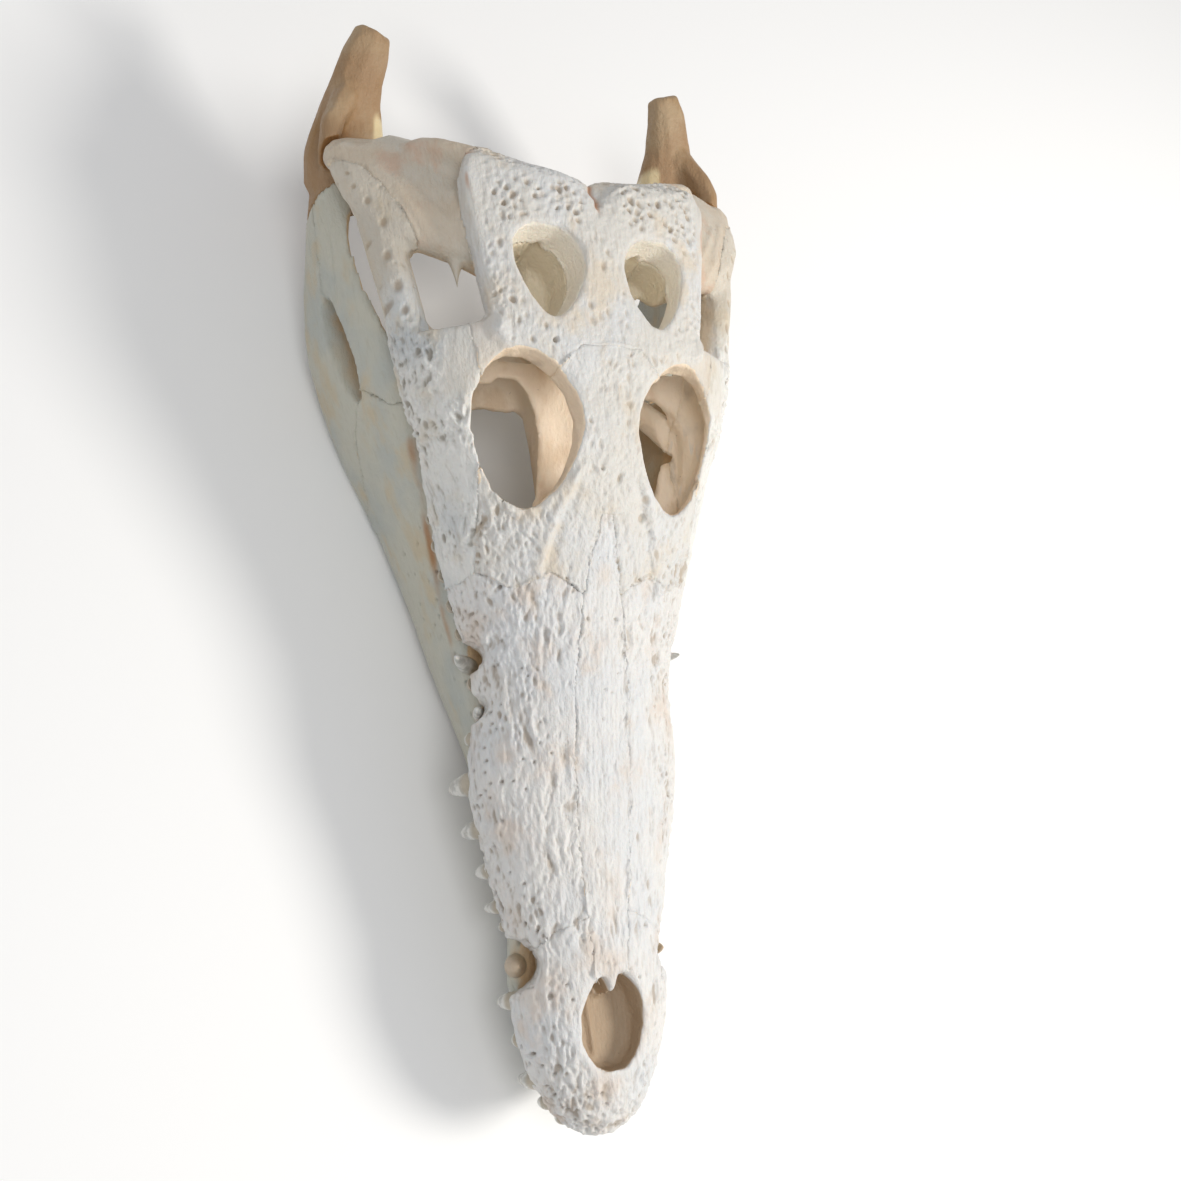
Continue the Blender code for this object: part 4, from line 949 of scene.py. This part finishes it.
def make_bones():
    """Carve the copies of all bones together, so that the relief runs on from bone to bone."""
    meshes, counts, (points, normals, wall, corner, hold, near) = copy_bones()
    names = np.repeat(np.arange(len(BONES)), counts)
    socket, opening, nostril = sunken(points, normals)
    shelter = shelter_of(points, normals, np.random.default_rng(SEED))
    shelter = np.maximum(shelter, 0.9 * np.max((socket, opening, nostril), axis=0))
    skin = survey(points, normals, names, shelter, nostril)
    chance = np.random.default_rng(SEED)
    press_pits(skin, chance)
    cut_furrows(skin)
    raise_net(skin)
    shape_landmarks(skin)
    sink_holes(skin, chance)
    wear_down(skin)
    tan, stain_and_shadow, cream = stains_and_shade(skin)
    height = skin.height * (0.8 + 0.2 * hold) * (1 - wall)
    moved = points + normals * (SWELL + JOINT_SWELL * corner * (1 - hold) + height)[:, None]
    bend = sum(swirl(points, size, seed) * far for far, size, seed in JOINT_WAVES)
    bend *= near[:, None]
    bend -= normals * np.sum(bend * normals, axis=1)[:, None] * (1 - wall)[:, None]
    moved += bend
    moved[:, 2] = np.maximum(moved[:, 2], 0.0)
    # The table's openings take less of the inside tone and cream on their walls, as painted light
    looks = {
        "shelter": shelter * (1 - 0.70 * opening), "pit": skin.pits, "dirt": skin.dirt, "tan": tan,
        "stain_and_shadow": stain_and_shadow, "cream": np.maximum(cream, 0.8 * opening), "suture": (1 - hold) * (1 - wall),
    }
    start = 0
    for name, count in zip(BONES, counts):
        part = slice(start, start + count)
        start += count
        shaped = hide_solid_teeth(moved[part], [row for row in TEETH if row[0] == name])
        write_points(meshes[name], draw_spike(shaped) if name in QUADRATES else shaped)
        for title in BONE_VALUES:
            write_values(meshes[name], title, clamp01(looks[title][part]))
        meshes[name].shade_smooth()
    return meshes


def linear(code):
    """A hex colour of the screen as linear light."""
    channels = [int(code[i:i + 2], 16) / 255 for i in (0, 2, 4)]
    return tuple(c / 12.92 if c <= 0.04045 else ((c + 0.055) / 1.055) ** 2.4 for c in channels) + (1.0,)


def add(tree, kind, settings=None, out=0, **links):
    """Add a node, set what settings names, link or set its inputs, named or as i and a number, and
    give one of its outputs, or the node itself."""
    node = tree.nodes.new(kind)
    for key, value in (settings or {}).items():
        setattr(node, key, value)
    for key, value in links.items():
        numbered = key[0] == "i" and key[1:].isdigit()
        socket = node.inputs[int(key[1:]) if numbered else key.replace("_", " ")]
        if isinstance(value, bpy.types.NodeSocket):
            tree.links.new(value, socket)
        else:
            socket.default_value = value
    return node if out is None else node.outputs[out]


def layered(tree, tones, layers, masks):
    """One tone over another, each kept to where its masks let it show."""
    colour = linear(tones["crest"])
    for tone, most, within in layers:
        share = most
        for mask, low, high in within:
            share = add(
                tree, "ShaderNodeMapRange", {"clamp": True, "interpolation_type": "SMOOTHSTEP"},
                Value=masks[mask], From_Min=low, From_Max=high, To_Min=0.0, To_Max=share,
            )
        over = linear(tones[tone])
        colour = add(tree, "ShaderNodeMix", {"data_type": "RGBA"}, 2, i0=share, i6=colour, i7=over)
    return colour


def pattern_masks(tree, attributes, patterns):
    """The mesh's own values and the noise patterns, by name."""
    place = add(tree, "ShaderNodeTexCoord", out="Object")
    masks = {}
    for key in attributes:
        masks[key] = add(tree, "ShaderNodeAttribute", {"attribute_name": key}, "Fac")
    for key, (kind, size, stretch, detail, roughness) in patterns.items():
        scale = [1 / (size * MM * k) for k in stretch]
        turned = add(tree, "ShaderNodeMapping", Vector=place, Scale=scale)
        masks[key] = add(
            tree, "ShaderNodeTexNoise", {"noise_type": kind}, Vector=turned, Scale=1.0,
            Detail=detail, Roughness=roughness,
        )
    return masks


def new_finish(title, settings):
    """A material of that name, with its shader's own values set, its nodes and its shader."""
    material = bpy.data.materials.new(title)
    material.use_nodes = True
    shader = material.node_tree.nodes["Principled BSDF"]
    for key, value in settings.items():
        shader.inputs[key].default_value = value
    return material, material.node_tree, shader


def bone_finish(title, tones, grain):
    """Dry bone, boiled and bleached, never varnished: matt, faintly waxy where it is dense, with beige
    in the pits that is partly painted shade, tan inside the openings that is partly painted light,
    painted shade in the holes and tooth gaps, and fine fibres along its length."""
    material, tree, shader = new_finish(title, BONE_SHADER)
    masks = pattern_masks(tree, BONE_VALUES, BONE_PATTERNS)
    tree.links.new(layered(tree, tones, BONE_LAYERS, masks), shader.inputs["Base Color"])
    matt, waxy = BONE_ROUGHNESS
    gloss = add(
        tree, "ShaderNodeMapRange", Value=masks["blotches"], From_Min=0.3, From_Max=0.7,
        To_Min=matt[0], To_Max=matt[1],
    )
    waxed = add(tree, "ShaderNodeMapRange", Value=masks["cream"], To_Min=gloss, To_Max=waxy)
    tree.links.new(waxed, shader.inputs["Roughness"])
    height = masks["pores"]
    plus = {"operation": "MULTIPLY_ADD"}
    for pattern, share in (("furrows", 0.6 * grain), ("fibres", 0.7)):
        height = add(tree, "ShaderNodeMath", plus, i0=masks[pattern], i1=share, i2=height)
    bump = add(tree, "ShaderNodeBump", Height=height, **BONE_BUMP)
    tree.links.new(bump, shader.inputs["Normal"])
    return material


def tooth_finish():
    """Dry crocodile tooth: enamel over dentine, satin, grey-white, fine cracks along its length."""
    material, tree, shader = new_finish("tooth_enamel", TOOTH_SHADER)
    masks = pattern_masks(tree, ("root", "yellowed"), TOOTH_PATTERNS)
    tree.links.new(layered(tree, TOOTH_TONES, TOOTH_LAYERS, masks), shader.inputs["Base Color"])
    bump = add(tree, "ShaderNodeBump", Height=masks["cracks"], **TOOTH_BUMP)
    tree.links.new(bump, shader.inputs["Normal"])
    return material


def tooth_field(material):
    """Geometry nodes that stand one curved, keeled cone on each point, along its own axis."""
    tree = bpy.data.node_groups.new("tooth_field", "GeometryNodeTree")
    tree.interface.new_socket("Roots", in_out="INPUT", socket_type="NodeSocketGeometry")
    for title, value in TOOTH_SHAPE.items():
        kind = "NodeSocketInt" if isinstance(value, int) else "NodeSocketFloat"
        tree.interface.new_socket(title, in_out="INPUT", socket_type=kind)
    tree.interface.new_socket("Teeth", in_out="OUTPUT", socket_type="NodeSocketGeometry")
    given = add(tree, "NodeGroupInput", out=None).outputs
    times = {"operation": "MULTIPLY"}
    buried = add(tree, "ShaderNodeMath", times, i0=given["Buried"], i1=-1.0)
    foot = add(tree, "ShaderNodeCombineXYZ", Z=buried)
    tip = add(tree, "ShaderNodeCombineXYZ", Z=1.0)
    knee = add(tree, "ShaderNodeCombineXYZ", Z=0.45)
    spine = add(
        tree, "GeometryNodeCurveQuadraticBezier", Resolution=given["Points along"],
        Start=foot, Middle=knee, End=tip,
    )
    factor = add(tree, "GeometryNodeSplineParameter", out="Factor")
    taper = add(tree, "ShaderNodeFloatCurve", out=None, Value=factor)
    curve = taper.mapping.curves[0]
    curve.points[0].location = TOOTH_TAPER[0]
    curve.points[-1].location = TOOTH_TAPER[-1]
    for at, width in TOOTH_TAPER[1:-1]:
        curve.points.new(at, width)
    taper.mapping.update()
    ring = add(
        tree, "GeometryNodeCurvePrimitiveCircle", {"mode": "RADIUS"},
        Resolution=given["Points round"], Radius=1.0,
    )
    keel = add(tree, "ShaderNodeCombineXYZ", X=1.0, Y=given["Keel"], Z=1.0)
    shaped = add(tree, "GeometryNodeTransform", Geometry=ring, Scale=keel)
    cone = add(
        tree, "GeometryNodeCurveToMesh", Curve=spine, Profile_Curve=shaped,
        Scale=taper.outputs[0], Fill_Caps=True,
    )
    place = add(tree, "GeometryNodeInputPosition")
    up = add(tree, "ShaderNodeSeparateXYZ", out=2, Vector=place)
    square = add(tree, "ShaderNodeMath", times, i0=up, i1=up)
    lean = add(tree, "ShaderNodeMath", times, i0=square, i1=given["Bend"])
    shift = add(tree, "ShaderNodeCombineXYZ", X=lean)
    hooked = add(tree, "GeometryNodeSetPosition", Geometry=cone, Offset=shift)
    rooted = add(
        tree, "ShaderNodeMapRange", {"clamp": True}, Value=up, From_Min=0.35, From_Max=0.0,
        To_Min=0.0, To_Max=1.0,
    )
    marked = add(
        tree, "GeometryNodeStoreNamedAttribute", {"data_type": "FLOAT", "domain": "POINT"},
        Geometry=hooked, Name="root", Value=rooted,
    )
    smooth = add(tree, "GeometryNodeSetShadeSmooth", Geometry=marked)
    points = add(tree, "GeometryNodeMeshToPoints", Mesh=given["Roots"])
    given_by = {}
    for title in ("axis", "inward", "girth"):
        given_by[title] = add(
            tree, "GeometryNodeInputNamedAttribute", {"data_type": "FLOAT_VECTOR"}, Name=title,
        )
    upright = add(tree, "FunctionNodeAlignRotationToVector", {"axis": "Z"}, Vector=given_by["axis"])
    turned = add(
        tree, "FunctionNodeAlignRotationToVector", {"axis": "X", "pivot_axis": "Z"},
        Rotation=upright, Vector=given_by["inward"],
    )
    stood = add(
        tree, "GeometryNodeInstanceOnPoints", Points=points, Instance=smooth,
        Rotation=turned, Scale=given_by["girth"],
    )
    made = add(tree, "GeometryNodeRealizeInstances", Geometry=stood)
    dressed = add(tree, "GeometryNodeSetMaterial", Geometry=made, Material=material)
    add(tree, "NodeGroupOutput", out=None, Teeth=dressed)
    return tree


def stand_teeth(bone, group):
    """The teeth of one bone as one plain mesh."""
    rows = [row for row in TEETH if row[0] == bone]
    roots = to_metres(np.array([row[1] for row in rows]))
    mesh = bpy.data.meshes.new(bone + "_roots")
    mesh.from_pydata(roots.tolist(), [], [])
    wide, long = TOOTH_GIRTH * MM, TOOTH_REACH[bone] * MM
    for title, values in (
        ("axis", [row[2] for row in rows]), ("inward", [row[4] for row in rows]),
        ("girth", [(row[5] * wide, row[5] * wide, row[6] * long) for row in rows]),
    ):
        layer = mesh.attributes.new(title, "FLOAT_VECTOR", "POINT")
        layer.data.foreach_set("vector", np.array(values, np.float32).ravel())
    write_values(mesh, "yellowed", np.array([row[7] for row in rows]))
    holder = show(bone + "_roots", mesh)
    field = holder.modifiers.new("teeth", "NODES")
    field.node_group = group
    for socket in group.interface.items_tree:
        if socket.name in TOOTH_SHAPE:
            field[socket.identifier] = TOOTH_SHAPE[socket.name]
    return settle(holder, bone + "_teeth")


def set_camera():
    eye = Vector(CAMERA_SPOT)
    back = (eye - Vector(CAMERA_AIM)).normalized()
    right = Vector((0, 1, 0)).cross(back).normalized()
    up = back.cross(right)
    roll = math.radians(CAMERA_ROLL)
    across = right * math.cos(roll) + up * math.sin(roll)
    upright = up * math.cos(roll) - right * math.sin(roll)
    data = bpy.data.cameras.new("view")
    data.lens = LENS
    data.sensor_width = 36.0
    data.clip_start = 0.01
    camera = show("view", data)
    camera.matrix_world = Matrix((
        (across.x, upright.x, back.x, eye.x),
        (across.y, upright.y, back.y, eye.y),
        (across.z, upright.z, back.z, eye.z),
        (0, 0, 0, 1),
    ))
    bpy.context.scene.camera = camera


def soft_lamp(title, spot, size, power, colour):
    data = bpy.data.lights.new(title, "AREA")
    data.shape = "DISK"
    data.size = size
    data.energy = power
    data.color = linear(colour)[:3]
    lamp = show(title, data)
    lamp.location = spot
    lamp.rotation_euler = (Vector(spot) - Vector(LAMP_AIM)).to_track_quat("Z", "Y").to_euler()


def set_studio():
    """Soft light and a floor of matt white paper, which spreads the light under the bones."""
    world = bpy.data.worlds.new("soft_studio")
    bpy.context.scene.world = world
    world.use_nodes = True
    background = world.node_tree.nodes["Background"]
    background.inputs["Color"].default_value = linear("F6F7FA")
    background.inputs["Strength"].default_value = WORLD_STRENGTH
    for lamp in LAMPS:
        soft_lamp(*lamp)
    sheet = bpy.data.meshes.new("floor")
    corners = [(x * FLOOR_REACH, y * FLOOR_REACH, 0) for x, y in ((-1, -1), (1, -1), (1, 1), (-1, 1))]
    sheet.from_pydata(corners, [], [(0, 1, 2, 3)])
    paper, _, _ = new_finish("pale_paper_floor", {
        "Base Color": linear("F7F7F6"), "Roughness": 0.9, "Specular IOR Level": 0.2,
    })
    show("floor", sheet, paper)
    bpy.context.scene.view_settings.view_transform = "Standard"


def main():
    set_camera()
    set_studio()
    finishes = {}
    for title, slots, grain, tones in FINISHES:
        finish = bone_finish(title, dict(zip(TONE_NAMES, tones)), grain)
        finishes.update((slot, finish) for slot in slots)
    for name, mesh in make_bones().items():
        piece = show(name + "_bone", mesh, finishes[SLOTS[name]])
        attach(piece, "root")
        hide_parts(name)
    field = tooth_field(tooth_finish())
    for name in TOOTH_REACH:
        teeth = show(name + "_teeth", stand_teeth(name, field))
        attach(teeth, "root")


main()
